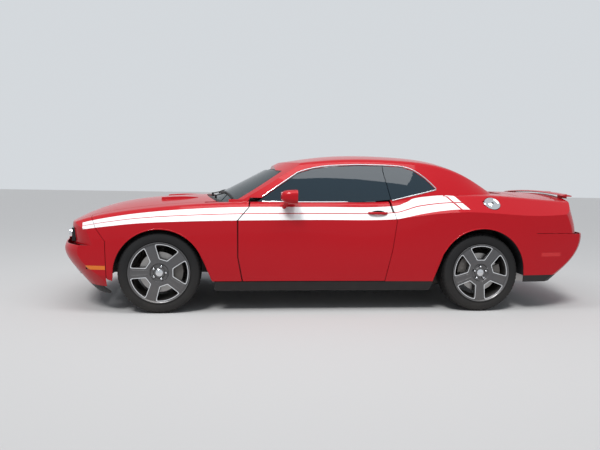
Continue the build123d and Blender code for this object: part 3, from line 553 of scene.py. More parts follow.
def car_paint(name, red, white, striped=False, lined_and_shaded=None):
    """Clear-coated red, with the white side stripes, and with dark lining on the cabin side or underneath. This is
    real trim inside the cabin and under the hood and roof, and painted shade under the trunk lid and the side
    panels.
    """
    f = Finish(name, red, 0.4, 0.06, Coat_Weight=0.6, Coat_Roughness=0.03, Coat_IOR=1.36,
               Specular_IOR_Level=0.1)
    place = f.place()
    where = f.axes(place)
    colour = f.mix(f.times(f.noise(place, 1800, 1), 0.5), red, tuple(c * 1.35 for c in red))
    if striped:
        colour = f.mix(stripe_mask(f, where["X"], where["Z"]), colour, white)
    # Darkens the lined faces: real dark trim in the cabin and under the hood and roof, painted shade under the
    # trunk lid and the side panels, and darker faces round the wheel openings
    if lined_and_shaded:
        inner = lining_and_shade_mask(f, where, lined_and_shaded == "cabin")
        colour = f.mix(inner, colour, LINING_AND_SHADE_BLACK)
        outer = f.maths("SUBTRACT", 1.0, inner)
        f.give(Coat_Weight=f.times(outer, 0.6), Roughness=f.maths("MULTIPLY_ADD", outer, -0.35, 0.75))
    f.dust(colour, 0.05, 0.40)
    f.bump(f.noise(place, 160), 0.012)
    return f.material


def lens(name, axis, limit, near, far, ribs):
    """Ribbed lens that changes colour past a limit along one axis."""
    f = Finish(name, near, 0.18, 0.0, Coat_Weight=0.2)
    place = f.place()
    along = f.axes(place)[axis]
    f.give(Base_Color=f.mix(f.above(f.apart(along) if limit else along, limit), near, far))
    wave = f.node("ShaderNodeTexWave", {"Vector": place, "Scale": ribs / 6.2832}, bands_direction="Z")
    f.bump(wave.outputs["Fac"], 0.15)
    return f.material


def glazed(name, colour, alpha):
    f = Finish(name, colour, 0.02, 0.0, Alpha=alpha, Specular_IOR_Level=0.5)
    f.material.surface_render_method = "DITHERED"
    return f


def heated_screen():
    """Rear glass with fine heating lines."""
    f = glazed("heated rear glass", SCREEN_TINT, 0.80)
    where = f.axes(f.place())
    line = f.times(f.below(f.maths("FRACT", f.maths("DIVIDE", where["Z"], 0.019)), 0.07),
                   f.below(f.apart(where["Y"]), 0.48))
    f.give(Base_Color=f.mix(line, SCREEN_TINT, (0.09, 0.04, 0.02)), Alpha=f.maths("MAXIMUM", line, 0.80))
    return f.material


def make_finishes(look):
    GROUPS.update(grain=grain_group(), dust=dust_group())
    red, white = tuple(look.paint_red), tuple(look.stripe_white)
    # The lined finishes darken real trim in the cabin and under the hood and roof, and paint shade under the trunk
    # lid and the side panels
    for key, name, values in (("paint", "red paint", {}),
                              ("lined_and_shaded", "red paint with dark underside lining and painted shade", {"lined_and_shaded": "under"}),
                              ("roof", "red paint with cabin lining", {"lined_and_shaded": "cabin"}),
                              ("nose", "red paint with stripe ends", {"striped": True}),
                              ("striped", "red paint with side stripes", {"striped": True, "lined_and_shaded": "cabin"})):
        FINISHES[key] = car_paint(name, red, white, **values)

    def plain(key, name, colour, roughness, metallic=0.0, scale=600, spread=0.12, bump=0.06, dust=None,
              **sockets):
        f = Finish(name, colour, roughness, metallic, **sockets)
        f.grain(scale, roughness, spread, bump)
        if dust:
            f.dust(colour, *dust)
        FINISHES[key] = f.material

    plain("trim", "black moulded trim", (0.008, 0.008, 0.009), 0.5, scale=900, dust=(0.10, 0.5),
          Specular_IOR_Level=0.35)
    plain("liner", "black wheel house felt", (0.008, 0.008, 0.009), 0.85, scale=500, bump=0.3, dust=(0.3, 0.8))
    plain("gloss", "black gloss", (0.006, 0.006, 0.007), 0.12, bump=0.01)
    plain("seal", "black rubber seal", (0.01, 0.01, 0.01), 0.6)
    plain("chrome", "polished chrome", (0.72, 0.73, 0.75), 0.07, 1.0, spread=0.05, bump=0.004)
    plain("machined", "machined aluminium", (0.78, 0.79, 0.81), 0.2, 1.0, scale=900, spread=0.1, bump=0.03)
    plain("charcoal", "charcoal wheel paint", (0.085, 0.085, 0.09), 0.34, 0.55, bump=0.02, dust=(0.25, 0.7),
          Coat_Weight=0.6, Coat_Roughness=0.08)
    plain("cast", "cast iron", (0.13, 0.125, 0.12), 0.6, 0.8, scale=300, bump=0.3, dust=(0.3, 0.8))
    plain("disc", "turned brake disc", (0.35, 0.34, 0.33), 0.33, 1.0, scale=700, bump=0.05)
    plain("steel", "bare steel", (0.42, 0.41, 0.40), 0.35, 1.0, scale=200, bump=0.08, dust=(0.4, 0.7))
    plain("under", "underbody coat", (0.018, 0.017, 0.017), 0.75, scale=260, bump=0.25, dust=(0.45, 0.7))
    plain("leather", "black leather", (0.02, 0.02, 0.021), 0.42, scale=380, bump=0.35)
    plain("dash", "grained cabin plastic", (0.022, 0.022, 0.024), 0.55, scale=750, bump=0.25)
    plain("carpet", "cabin carpet", (0.012, 0.012, 0.013), 0.95, scale=1400, bump=0.9, Sheen_Weight=0.2)
    plain("needle", "orange needle", (0.8, 0.16, 0.02), 0.5)
    plain("cloth_edge", "carpet edge binding", (0.03, 0.03, 0.032), 0.8, scale=900, bump=0.5)
    plain("bare", "bare pale plate", (0.72, 0.72, 0.70), 0.4, bump=0.02)
    plain("tyre", "tyre rubber", (0.007, 0.007, 0.0075), 0.7, scale=500, spread=0.15, bump=0.12, dust=(0.08, 0.5),
          Specular_IOR_Level=0.35)
    FINISHES.update(
        marker=lens("side marker lens", "X", 0, (0.70, 0.16, 0.006), (0.55, 0.008, 0.012), 380),
        lamp_red=lens("tail lamp lens", "Y", 0.17, (0.40, 0.002, 0.003), (0.34, 0.001, 0.002), 260),
        heated=heated_screen(),
        glass=glazed("tinted window glass", (0.010, 0.024, 0.036), 0.90).material,
        clear=glazed("clear lamp glass", (0.9, 0.93, 0.95), 0.25).material,
        screen=glazed("screen glass", SCREEN_TINT, 0.80).material,
        mirror=Finish("mirror glass", (0.8, 0.82, 0.84), 0.02, 1.0).material)


# ---------------------------------------------------------------- properties
class CarLook(bpy.types.PropertyGroup):
    paint_red: bpy.props.FloatVectorProperty(
        name="Body red", description="Colour of the body paint", subtype="COLOR", size=3, min=0, max=1,
        default=(0.40, 0.003, 0.009))
    stripe_white: bpy.props.FloatVectorProperty(
        name="Stripe white", description="Colour of the side stripes", subtype="COLOR", size=3, min=0, max=1,
        default=(0.80, 0.80, 0.80))
    floor_tone: bpy.props.FloatVectorProperty(
        name="Floor", description="Colour of the studio floor", subtype="COLOR", size=3, min=0, max=1,
        default=(0.53, 0.525, 0.52))


class WheelSizes(bpy.types.PropertyGroup):
    tread_blocks: bpy.props.IntProperty(
        name="Tread blocks", description="Number of tread blocks round a tyre", default=64, min=24, max=120)
    bright_edge: bpy.props.FloatProperty(
        name="Bright edge", description="Width of the machined edge of a spoke", default=0.0068, min=0.002,
        max=0.02, unit="LENGTH")
    window_foot: bpy.props.FloatProperty(
        name="Window foot", description="Radius where a wheel window starts", default=0.122, min=0.08, max=0.16,
        unit="LENGTH")
    window_rim: bpy.props.FloatProperty(
        name="Window rim", description="Radius where a wheel window ends", default=0.2475, min=0.18, max=0.249,
        unit="LENGTH")


class StageSizes(bpy.types.PropertyGroup):
    floor_size: bpy.props.FloatProperty(
        name="Floor size", description="Edge of the studio floor", default=60.0, min=10, max=200, unit="LENGTH")
    sun_strength: bpy.props.FloatProperty(
        name="Sun", description="Strength of the soft distant lamp", default=2.0, min=0, max=20)
    key_power: bpy.props.FloatProperty(
        name="Key lamp", description="Power of the large overhead lamp", default=210.0, min=0, subtype="POWER")
    sky_strength: bpy.props.FloatProperty(
        name="Sky", description="Strength of the even light all round", default=0.42, min=0, max=5)


# ---------------------------------------------------------------- panels and glass
PANEL_FINISHES = {
    "striped": "fender_left fender_right door_left door_right body_side_left body_side_right",
    "lined_and_shaded": "hood trunk_lid", "roof": "roof_panel", "nose": "front_fascia",
    "paint": "rear_deck rear_fascia spoiler mirror_left mirror_right",
    "under": "front_frame floor_pan", "liner": "wheel_liners", "gloss": "tail_panel", "steel": "exhaust",
    "trim": "cowl grille air_dam rear_valance sills wipers", "chrome": "fuel_door",
    "cast": "engine_block knuckle_left knuckle_right suspension_front suspension_rear driveline",
    "clear": "headlamps", "lamp_red": "tail_lamps", "marker": "side_markers",
    "dash": "dashboard console", "leather": "steering_wheel seats"}
GLASS_FINISHES = {"glass": "door_glass_left door_glass_right quarter_glass", "screen": "windscreen",
                  "heated": "rear_window"}


def coat_nodes(table):
    """Gives the CAD nodes that are seen as they are their finishes."""
    for key, nodes in table.items():
        for node in nodes.split():
            coat(NODES[node], key)


class CAR_OT_panels(bpy.types.Operator):
    """Give the body panels their paint"""
    bl_idname = "car.panels"
    bl_label = "Body panels"

    def execute(self, context):
        make_finishes(context.scene.car_look)
        coat_nodes(PANEL_FINISHES)
        return {"FINISHED"}


def screen_head():
    """Black band that closes the head of the windscreen against the roof's front edge."""
    down, out = Vector((-0.82, 0, -0.57)), Vector((-0.57, 0, 0.82))
    lower, upper = [], []
    for k in range(-14, 15):
        y = k * 0.041
        glass = roof = None
        for step in range(120):
            z = 1.20 + 0.0015 * step
            on_glass = end_hit(("windscreen",), y, z, -1)
            on_roof = end_hit(("roof_panel", "body_side_left", "body_side_right"), y, z, -1)
            if on_glass and (not on_roof or on_glass[0].x < on_roof[0].x):
                glass = on_glass
            elif on_roof and on_roof[0].x < 0 and glass and not roof:
                roof = on_roof
        if glass and roof:
            lower.append(glass[0] + down * 0.016 + glass[1] * 0.0006)
            upper.append(roof[0] - down * 0.004 - out * 0.004)
    put_down_all()
    bpy.ops.mesh.primitive_grid_add(x_subdivisions=len(lower) - 1, y_subdivisions=1, size=1)
    band = bpy.context.object
    rows = sorted(band.data.vertices, key=lambda v: (v.co.y, v.co.x))
    for vertex, place in zip(rows, lower + upper):
        vertex.co = place
    apply_modifier(band, "SOLIDIFY", thickness=0.0022, offset=-1)
    edit_all(band)
    close_edit()
    return band


class CAR_OT_glass(bpy.types.Operator):
    """Glaze the windows"""
    bl_idname = "car.glass"
    bl_label = "Windows"

    def execute(self, context):
        coat_nodes(GLASS_FINISHES)
        settle(screen_head(), "windscreen_head_band", "seal", smooth=50)
        return {"FINISHED"}


# ---------------------------------------------------------------- wheels
SPOKES = 5
NUT_CIRCLE = 0.0575


def dish(r):
    """Depth of the wheel's face at a radius."""
    return -0.1075 - 0.0075 * max(0.0, (r - 0.09) / 0.16)


def window_line(grow, steps=10):
    """Outline of one wheel window about the straight-up direction, as (across, up) points."""
    sizes = bpy.context.scene.car_wheels
    foot, rim = sizes.window_foot - grow, sizes.window_rim + grow
    half_foot, half_angle = 0.036 + 0.7 * grow, radians(24.3) + grow / rim
    corner = 0.012
    end = (rim * sin(half_angle), rim * cos(half_angle))
    run = Vector((end[0] - half_foot, end[1] - foot)).normalized()
    near_rim, near_end = rim - corner * 0.25, half_angle - 0.018
    half = [(half_foot - corner * 0.7, foot), (half_foot, foot + corner * 0.35),
            (end[0] - run.x * corner * 1.6, end[1] - run.y * corner * 1.6),
            (near_rim * sin(near_end), near_rim * cos(near_end))]
    for k in range(steps + 1):
        a = half_angle - 0.055 - k * (half_angle - 0.055) / steps
        half.append((rim * sin(a), rim * cos(a)))
    return half + [(-x, z) for x, z in reversed(half[:-1])]


def wheel_turned(points, angle, lift):
    """Outline turned to its place on the wheel, laid on the dished face."""
    return [(x * cos(angle) - z * sin(angle), dish(hypot(x, z)) - lift, x * sin(angle) + z * cos(angle))
            for x, z in points]


def build_rim():
    """Five-spoke alloy wheel about the origin, facing -Y, with its disc, nuts and cap."""
    hub = dish(0)
    turns = [k * 2 * pi / SPOKES for k in range(SPOKES)]
    face = lathe([(0.031, hub + 0.004), (0.047, hub + 0.004), (0.053, hub + 0.013), (0.076, hub + 0.013),
                  (0.084, dish(0.09)), (0.09, dish(0.09)), (0.165, dish(0.165)), (0.2555, dish(0.2555)),
                  (0.2555, -0.1146), (0.2480, -0.1144), (0.2480, -0.089), (0.16, -0.080), (0.08, -0.073),
                  (0.031, -0.073)], steps=120)
    for a in turns:
        cut_with(face, plate([(x, -0.15, z) for x, _, z in wheel_turned(window_line(0), a, 0)], (0, 0.12, 0)))
    for a in turns:
        cut_with(face, drum((-NUT_CIRCLE * sin(a), -0.1, NUT_CIRCLE * cos(a)), 0.0145, 0.05, sides=24))
    soften(face, 0.0022, 2, 40)
    parts = [coat(face, "charcoal")]
    edge = bpy.context.scene.car_wheels.bright_edge
    for a in turns:
        rims = [wheel_turned(window_line(grow), a, 0.0004) for grow in (edge, 0.0003)]
        parts.append(coat(loop_plate(*rims, 0.0022), "machined"))
        for across in (-0.017, 0.017):
            rib = [(across - 0.0045, 0.1), (across + 0.0045, 0.1), (across * 1.5 + 0.006, 0.238),
                   (across * 1.5 - 0.006, 0.238)]
            rib = plate(wheel_turned(rib, a + pi / SPOKES, -0.001), (0, -0.0022, 0), 0.0009, 1)
            parts.append(coat(rib, "charcoal"))
        put_down_all()
        bpy.ops.mesh.primitive_cone_add(
            vertices=6, radius1=0.0118, radius2=0.0105, depth=0.020, rotation=(pi / 2, 0, 0),
            location=(-NUT_CIRCLE * sin(a), hub + 0.006, NUT_CIRCLE * cos(a)))
        parts.append(coat(formed(0.0025, 3), "chrome"))
    for key, steps, profile in (
            ("chrome", 48, [(0.0005, hub - 0.008), (0.012, hub - 0.0075), (0.024, hub - 0.005), (0.0315, hub),
                            (0.0315, hub + 0.02), (0.0005, hub + 0.02)]),
            ("charcoal", 144, [(0.2550, -0.1151), (0.2590, -0.1205), (0.2635, -0.1250), (0.2665, -0.1262),
                               (0.2695, -0.1262), (0.2712, -0.1240), (0.2712, -0.1151)]),
            ("steel", 96, [(0.2540, -0.1142), (0.2540, 0.1142), (0.2712, 0.1145), (0.2712, 0.1255),
                           (0.2655, 0.1255), (0.2485, 0.104), (0.222, 0.060), (0.219, 0.02), (0.241, -0.055),
                           (0.246, -0.10)]),
            ("cast", 48, [(0.0285, -0.073), (0.078, -0.073), (0.078, -0.0285), (0.0285, -0.0285)]),
            ("disc", 96, [(0.0285, -0.0285), (0.095, -0.0285), (0.097, -0.030), (0.1795, -0.030),
                          (0.1795, -0.039), (0.170, -0.039), (0.170, -0.045), (0.1795, -0.045),
                          (0.1795, -0.0555), (0.097, -0.0555), (0.095, -0.057), (0.0285, -0.057)])):
        parts.append(coat(lathe(profile, steps=steps), key))
    return join(parts)


def build_tyre():
    """Low tyre about the origin with ribs, cross grooves and a rim guard."""
    steps = bpy.context.scene.car_wheels.tread_blocks * 3
    half = [(0.2545, 0.1075), (0.2660, 0.1085), (0.2718, 0.1125), (0.2760, 0.1180), (0.2800, 0.1200),
            (0.2850, 0.1190), (0.2890, 0.1200), (0.2990, 0.1222), (0.3120, 0.1225), (0.3250, 0.1213),
            (0.3360, 0.1185), (0.3405, 0.1180), (0.3480, 0.1140), (0.3560, 0.1050), (0.3605, 0.0950),
            (0.3625, 0.0830), (0.3562, 0.0815), (0.3562, 0.0740), (0.3632, 0.0725), (0.3638, 0.0330),
            (0.3568, 0.0315), (0.3568, 0.0235), (0.3640, 0.0220)]
    tyre = lathe([(r, -s) for r, s in half] + half[::-1], steps=steps)
    for vertex in tyre.data.vertices:
        r, across = hypot(vertex.co.x, vertex.co.z), abs(vertex.co.y)
        step = round(atan2(vertex.co.x, vertex.co.z) / (2 * pi) * steps)
        shoulder = across > 0.078 and step % 3 == 0
        middle = 0.030 < across < 0.075 and step % 6 == 1
        if r >= 0.3445 and (shoulder or middle):
            vertex.co.x *= 1 - 0.0045 / r
            vertex.co.z *= 1 - 0.0045 / r
    return coat(tyre, "tyre")


def build_caliper():
    """Brake caliper about the axle, at the top of its disc, with its slot, bosses and pins."""

    def around(radius, degrees, y):
        return radius * sin(radians(degrees)), y, radius * cos(radians(degrees))

    arc = range(-26, 27, 4)
    body = plate([around(0.208, a, -0.070) for a in arc] + [around(0.130, a, -0.070) for a in reversed(arc)],
                 (0, 0.062, 0))
    cut_with(body, lathe([(0.09, -0.0610), (0.1855, -0.0610), (0.1855, -0.0245), (0.09, -0.0245)], steps=64))
    soften(body, 0.003, 2)
    bosses = [drum(around(0.165, a, -0.0695), 0.017, 0.004, sides=32, bevel=0.001) for a in (-14, 0, 14)]
    pins = [drum(around(0.196, a, -0.040), 0.007, 0.064, sides=12, bevel=0.001) for a in (-21, 21)]
    return join([body] + bosses + pins)


class CAR_OT_wheels(bpy.types.Operator):
    """Build one wheel and one tyre and copy them to the four corners"""
    bl_idname = "car.wheels"
    bl_label = "Wheels and tyres"

    def execute(self, context):
        rim = settle(build_rim(), "rim_pattern", None, smooth=32)
        tyre = settle(build_tyre(), "tyre_pattern", None, smooth=40)
        for end, place, turn in (("front", AXLE_FRONT, 17), ("rear", AXLE_REAR, 0)):
            for side in SIDES:
                for pattern, node in ((rim, "rim"), (tyre, "tyre")):
                    copy = self.at_corner(pattern, f"{node}_{end}_{side}_full", f"wheel_{end}_{side}", side,
                                          place, turn)
                    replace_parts(copy, f"{node}_{end}_{side}")
        caliper = settle(build_caliper(), "caliper_pattern", "cast")
        for end, place, lean in (("front", AXLE_FRONT, 65), ("rear", AXLE_REAR, -65)):
            for side in SIDES:
                body = f"knuckle_{side}" if end == "front" else "body"
                self.at_corner(caliper, f"caliper_{end}_{side}", body, side, place, lean)
        for pattern in (rim, tyre, caliper):
            bpy.data.objects.remove(pattern)
        return {"FINISHED"}

    @staticmethod
    def at_corner(pattern, name, body, side, place, degrees):
        """Copy of a pattern turned and set on its axle, and mirrored for the right side."""
        move = Matrix.Translation(place) @ Matrix.Rotation(radians(degrees), 4, "Y")
        right = side == "right"
        return twin(pattern, name, body, MIRROR_Y @ move if right else move, right)


# ---------------------------------------------------------------- side trim
WINDOW_LINE = [(-0.709, 0.999), (-0.58, 1.089), (-0.452, 1.177), (-0.330, 1.262), (-0.262, 1.286),
               (-0.191, 1.304), (-0.11, 1.319), (-0.036, 1.329), (0.10, 1.338), (0.240, 1.344), (0.355, 1.345),
               (0.471, 1.344), (0.57, 1.342), (0.666, 1.335), (0.725, 1.321), (0.775, 1.301), (0.83, 1.268),
               (0.879, 1.230), (0.93, 1.183), (0.978, 1.131)]
BELT_LINE = [(0.978, 1.131), (0.83, 1.095), (0.672, 1.058), (0.60, 1.040), (0.540, 1.026), (0.46, 1.018),
             (0.389, 1.012), (0.20, 1.008), (0.0, 1.005), (-0.2, 1.002), (-0.4, 1.000), (-0.709, 0.999)]
MIRROR_CENTRE = Vector((-0.366, -0.955, 1.053))


class CAR_OT_trim(bpy.types.Operator):
    """Add window beads, handles, fuel cap, wheel arch lips and mirror glass"""
    bl_idname = "car.trim"
    bl_label = "Side trim"

    def execute(self, context):
        self.beads()
        self.handle()
        self.fuel_door()
        self.arches()
        self.mirror()
        return {"FINISHED"}

    @staticmethod
    def beads():
        grown = [(x + 0.004 * (1 if x > 0.7 else -1 if x < -0.4 else 0), z + 0.006) for x, z in WINDOW_LINE]
        top = on_car_side(between(grown, 0.03), 0.001, ("body_side_left",))
        pair(tube(top, 0.0055), "window_bead", "chrome", smooth=60)
        lowered = [(x, z - 0.004) for x, z in BELT_LINE]
        for name, points, body in (("belt_bead_door", [p for p in lowered if p[0] <= 0.50], "door"),
                                   ("belt_bead_quarter", [p for p in lowered if p[0] >= 0.54], "body")):
            line = on_car_side(between(points, 0.04), 0.002, ("body_side_left", "door_left"))
            pair(tube([p for p in line if p.y > -0.95], 0.006), name, "chrome", body, 60)

    @staticmethod
    def handle():
        place, normal = side_hit(("door_left",), 0.39, 0.905)
        put_down_all()
        bpy.ops.mesh.primitive_uv_sphere_add(segments=32, ring_count=16, radius=1, location=place)
        cup = bpy.context.object
        cup.scale = (0.074, 0.0035, 0.034)
        cup.rotation_euler = (atan2(normal.z, -normal.y), 0, 0)
        pair(cup, "handle_cup", "gloss", "door", 60)
        half = [(-0.083, -0.004), (-0.078, 0.012), (-0.06, 0.026), (-0.02, 0.031)]
        bow = tube([place + Vector((dx, -dy, 0.004)) for dx, dy in half + [(-dx, dy) for dx, dy in half[::-1]]],
                   0.012, sides=6)
        apply_modifier(bow, "SUBSURF", levels=1, render_levels=1)
        for vertex in bow.data.vertices:
            vertex.co.y = place.y - (place.y - vertex.co.y) * 0.8
        pair(bow, "handle", "paint", "door", 60)

    @staticmethod
    def fuel_door():
        """Ridged cap with six screws over the round fuel door."""
        tilt = radians(44)
        out = Vector((0, -sin(tilt), cos(tilt)))
        cap = lathe([(0.0005, 0.000), (0.0005, 0.0102), (0.012, 0.0102), (0.016, 0.0085), (0.030, 0.0078),
                     (0.034, 0.0052), (0.056, 0.0052), (0.060, 0.0075), (0.070, 0.0075), (0.0735, 0.0045),
                     (0.0735, 0.000)], axis="Z", steps=72)
        screws = [drum((0.0655 * cos(k * pi / 3), 0.0655 * sin(k * pi / 3), 0.008), 0.0035, 0.003, "Z", 6)
                  for k in range(6)]
        badge = drum((0, 0, 0.0104), 0.0115, 0.001, "Z", 32)
        door = join([coat(cap, "chrome")] + [coat(screw, "machined") for screw in screws]
                    + [coat(badge, "gloss")])
        turned(door, Matrix.Translation(Vector((1.480, -0.873, 1.009)) - out * 0.001)
               @ Matrix.Rotation(tilt, 4, "X"))
        settle(door, "fuel_door_cap", None, "fuel_door")

    @staticmethod
    def arches():
        """Rolled lips round the wheel openings."""

        def arc(x, z, radius, angles):
            return [(x + radius * cos(radians(a)), z + radius * sin(radians(a))) for a in angles]

        front = arc(-1.566, 0.351, 0.403, range(184, 18, -6)) + [(-1.118, 0.345), (-1.106, 0.300)]
        rear = [(0.916, 0.300), (0.946, 0.420), (1.002, 0.548)] + arc(1.380, 0.372, 0.411, range(150, -1, -6))
        nodes = ("body_side_left", "fender_left", "front_fascia", "rear_fascia", "door_left")
        for name, points in (("arch_lip_front", front), ("arch_lip_rear", rear)):
            line = [p for p in on_car_side(points, -0.001, nodes) if p.y < -0.80]
            pair(tube(line, 0.0055, sides=3), name, "paint", smooth=80)

    @staticmethod
    def mirror():
        """Glass in the mirror shells, with a black rim."""
        glass, rim = ([MIRROR_CENTRE + Vector((back, y, z)) for y, z in rounded(wide / 2, high / 2, corner, 6)]
                      for wide, high, corner, back in ((0.176, 0.090, 0.029, -0.0075),
                                                       (0.181, 0.095, 0.030, -0.005)))
        pair(plate(glass, (0.002, 0, 0), 0.0006, 1), "mirror_glass", "mirror", "door")
        pair(tube(rim, 0.003, closed=True, sides=2), "mirror_rim", "gloss", "door", 60)


# ---------------------------------------------------------------- nose and tail
def round_lamp(radius):
    """Round lamp about the origin, facing the front: bezel, bowl and bulb."""
    deep = radius / 0.05
    bezel = [(0.98, 0.0), (1.04, -0.004), (1.06, 0.004), (1.06, 0.035 * deep), (0.94, 0.035 * deep),
             (0.94, 0.012 * deep)]
    bowl = [(0, 0.050), (0.35, 0.048), (0.75, 0.034), (0.94, 0.010), (0.94, 0.014), (0.75, 0.040), (0.35, 0.054),
            (0, 0.056)]
    eye = [(0, 0.010), (0.20, 0.012), (0.34, 0.020), (0.38, 0.032), (0.38, 0.050), (0, 0.050)]
    parts = []
    for key, steps, scale, profile in (("chrome", 72, 1, bezel), ("machined", 60, deep, bowl),
                                       ("gloss", 48, deep, eye)):
        points = [(max(0.0005, radius * r), s * scale) for r, s in profile]
        parts.append(coat(lathe(points, axis="X", steps=steps), key))
    return join(parts)


def frame_on_end(name, half_y, low, high, way, node, radius, key, corner, y0=0.0):
    """Bead round a rectangle that lies on the nose or the tail."""
    points = rounded(half_y, (high - low) / 2, corner, 3)
    hits = [end_hit((node,), y0 + y, (low + high) / 2 + z, way)
            for y, z in between(points + points[:1], 0.05)[:-1]]
    settle(tube([hit[0] for hit in hits if hit], radius, closed=True, sides=3), name, key, smooth=70)


class CAR_OT_front(bpy.types.Operator):
    """Dress the nose: lamps, grille and intake"""
    bl_idname = "car.front"
    bl_label = "Nose"

    def execute(self, context):
        low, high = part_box("headlamps")
        radius, z = (high.z - low.z) / 2, (high.z + low.z) / 2
        for k, y in enumerate((0.620, 0.450, -0.450, -0.620)):
            bowl = turned(round_lamp(radius * 0.93), Matrix.Translation((low.x + 0.006, y, z)))
            settle(bowl, f"headlamp_bowl_{k}", None, smooth=40)
            if k == 0:
                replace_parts(bowl, "headlamps")
            glass = lathe([(0.0005, low.x - 0.004), (radius * 0.5, low.x - 0.002), (radius * 0.9, low.x + 0.005),
                           (radius * 0.9, low.x + 0.007), (radius * 0.5, low.x + 0.001), (0.0005, low.x)],
                          (0, y, z), axis="X", steps=48)
            settle(glass, f"headlamp_lens_{k}", "clear", smooth=40)
        frame_on_end("grille_frame", 0.738, 0.619, 0.745, -1, "front_fascia", 0.0035, "gloss", 0.03)
        frame_on_end("intake_frame", 0.524, 0.281, 0.404, -1, "front_fascia", 0.0045, "trim", 0.03)
        rows = [0.055 + 0.11 * (k - 6) for k in range(12)]
        blades = [brick((-2.3425, y - 0.0015, 0.628), (-2.3285, y + 0.0015, 0.736), 0.0005, 1)
                  for y in rows if abs(abs(y) - 0.45) >= 0.05]
        settle(join(blades), "grille_uprights", "gloss", smooth=30)
        for side, way in SIDE_WAYS:
            self.fog_lamp(way, side)
            self.scoop(way, side)
        return {"FINISHED"}

    @staticmethod
    def fog_lamp(way, side):
        """Small round lamp turned to the bumper's surface."""
        place, normal = end_hit(("front_fascia",), way * 0.62, 0.34, -1)
        face = normal.to_track_quat("-X", "Z").to_matrix().to_4x4()
        lamp = turned(round_lamp(0.034), Matrix.Translation(place + normal * 0.0005) @ face)
        settle(lamp, "fog_lamp_" + side, None, smooth=40)
        glass = drum((0, 0, 0), 0.032, 0.003, "X", 40, 0.001)
        settle(turned(glass, Matrix.Translation(place - normal * 0.0005) @ face), "fog_lens_" + side, "clear",
               smooth=40)

    @staticmethod
    def scoop(way, side):
        """Mesh set into the mouth of a hood scoop."""
        y = way * 0.33
        back = end_hit(("hood",), y, 0.9945, -1)[0].x - 0.003
        parts = [brick((back, y - 0.062, 0.9885), (back + 0.0015, y + 0.062, 1.0005), 0.0005, 1)]
        for k in range(11):
            across = y + 0.011 * (k - 5)
            parts.append(brick((back - 0.003, across - 0.0012, 0.9885), (back, across + 0.0012, 1.0005)))
        settle(join(parts), "scoop_mesh_" + side, "trim", "hood", 30)


PLATE_X, PLATE_Z = 2.4625, 0.642
PLATE_HOLES = [(y, z) for y in (-0.0889, 0.0889) for z in (0.5817, 0.7023)]


class CAR_OT_rear(bpy.types.Operator):
    """Dress the tail: lamps, plate and exhaust tips"""
    bl_idname = "car.rear"
    bl_label = "Tail"

    def execute(self, context):
        frame_on_end("tail_lamp_frame", 0.699, 0.776, 0.904, 1, "tail_lamps", 0.0045, "gloss", 0.02)
        for side, way in SIDE_WAYS:
            frame_on_end("tail_lamp_ring_" + side, 0.235, 0.797, 0.883, 1, "tail_lamps", 0.0028, "chrome", 0.03,
                         way * 0.43)
        for k, y in enumerate((-0.17, 0.17)):
            x = end_hit(("tail_lamps",), y, 0.84, 1)[0].x
            strip = brick((x - 0.006, y - 0.004, 0.780), (x + 0.003, y + 0.004, 0.900), 0.0015)
            settle(strip, f"tail_lamp_divider_{k}", "gloss", smooth=30)
        self.number_plate()
        for side, way in SIDE_WAYS:
            place = (2.3445, way * 0.45, 0.29)
            tip = lathe([(0.0342, 0.0), (0.0350, 0.0022), (0.0366, 0.0026), (0.0386, 0.0010), (0.0388, -0.060),
                         (0.0381, -0.060), (0.0381, -0.012), (0.0342, -0.012)], place, axis="X", steps=64)
            settle(tip, "exhaust_tip_" + side, "chrome", smooth=40)
            bore = lathe([(0.0005, -0.0565), (0.0335, -0.0565), (0.0335, -0.004), (0.0325, -0.004),
                          (0.0325, -0.0550), (0.0005, -0.0550)], place, axis="X", steps=48)
            settle(bore, "exhaust_bore_" + side, "liner", smooth=40)
        x, _, z = end_hit(("spoiler",), -0.10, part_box("spoiler")[1].z - 0.012, 1)[0]
        strip = brick((x - 0.010, -0.14, z - 0.007), (x + 0.0015, 0.14, z + 0.006), 0.0015)
        settle(strip, "high_brake_lamp", "lamp_red", "trunk_lid", 30)
        return {"FINISHED"}

    @staticmethod
    def number_plate():
        """Blank plate with its ridge, bolts and lights."""
        points = rounded(0.1525, 0.0760, 0.012, 4)
        blank = plate([(PLATE_X, y, PLATE_Z + z) for y, z in points], (0.0016, 0, 0), 0.0005, 1)
        for y, z in PLATE_HOLES:
            cut_with(blank, drum((PLATE_X, y, z), 0.0036, 0.02, "X", 16))
        settle(blank, "number_plate_blank", "bare", smooth=30)
        ridge = tube([(PLATE_X + 0.0018, y * 0.985, PLATE_Z + z * 0.965) for y, z in points], 0.0011, closed=True,
                     sides=2)
        settle(ridge, "number_plate_ridge", "bare", smooth=70)
        bolts = []
        for y, z in PLATE_HOLES:
            bolts += [drum((PLATE_X + 0.0035, y, z), 0.0062, 0.0036, "X", 6, 0.0006),
                      drum((PLATE_X + 0.0012, y, z), 0.0078, 0.0012, "X", 24)]
        settle(join(bolts), "number_plate_bolts", "machined", smooth=30)
        lights = [brick((2.4640, y - 0.018, 0.7150), (2.4740, y + 0.018, 0.7215), 0.0015) for y in (-0.06, 0.06)]
        settle(join(lights), "plate_lights", "clear", smooth=30)


# ---------------------------------------------------------------- seats
SEAT_Y = -0.400
CLOTH_FRAMES = 20


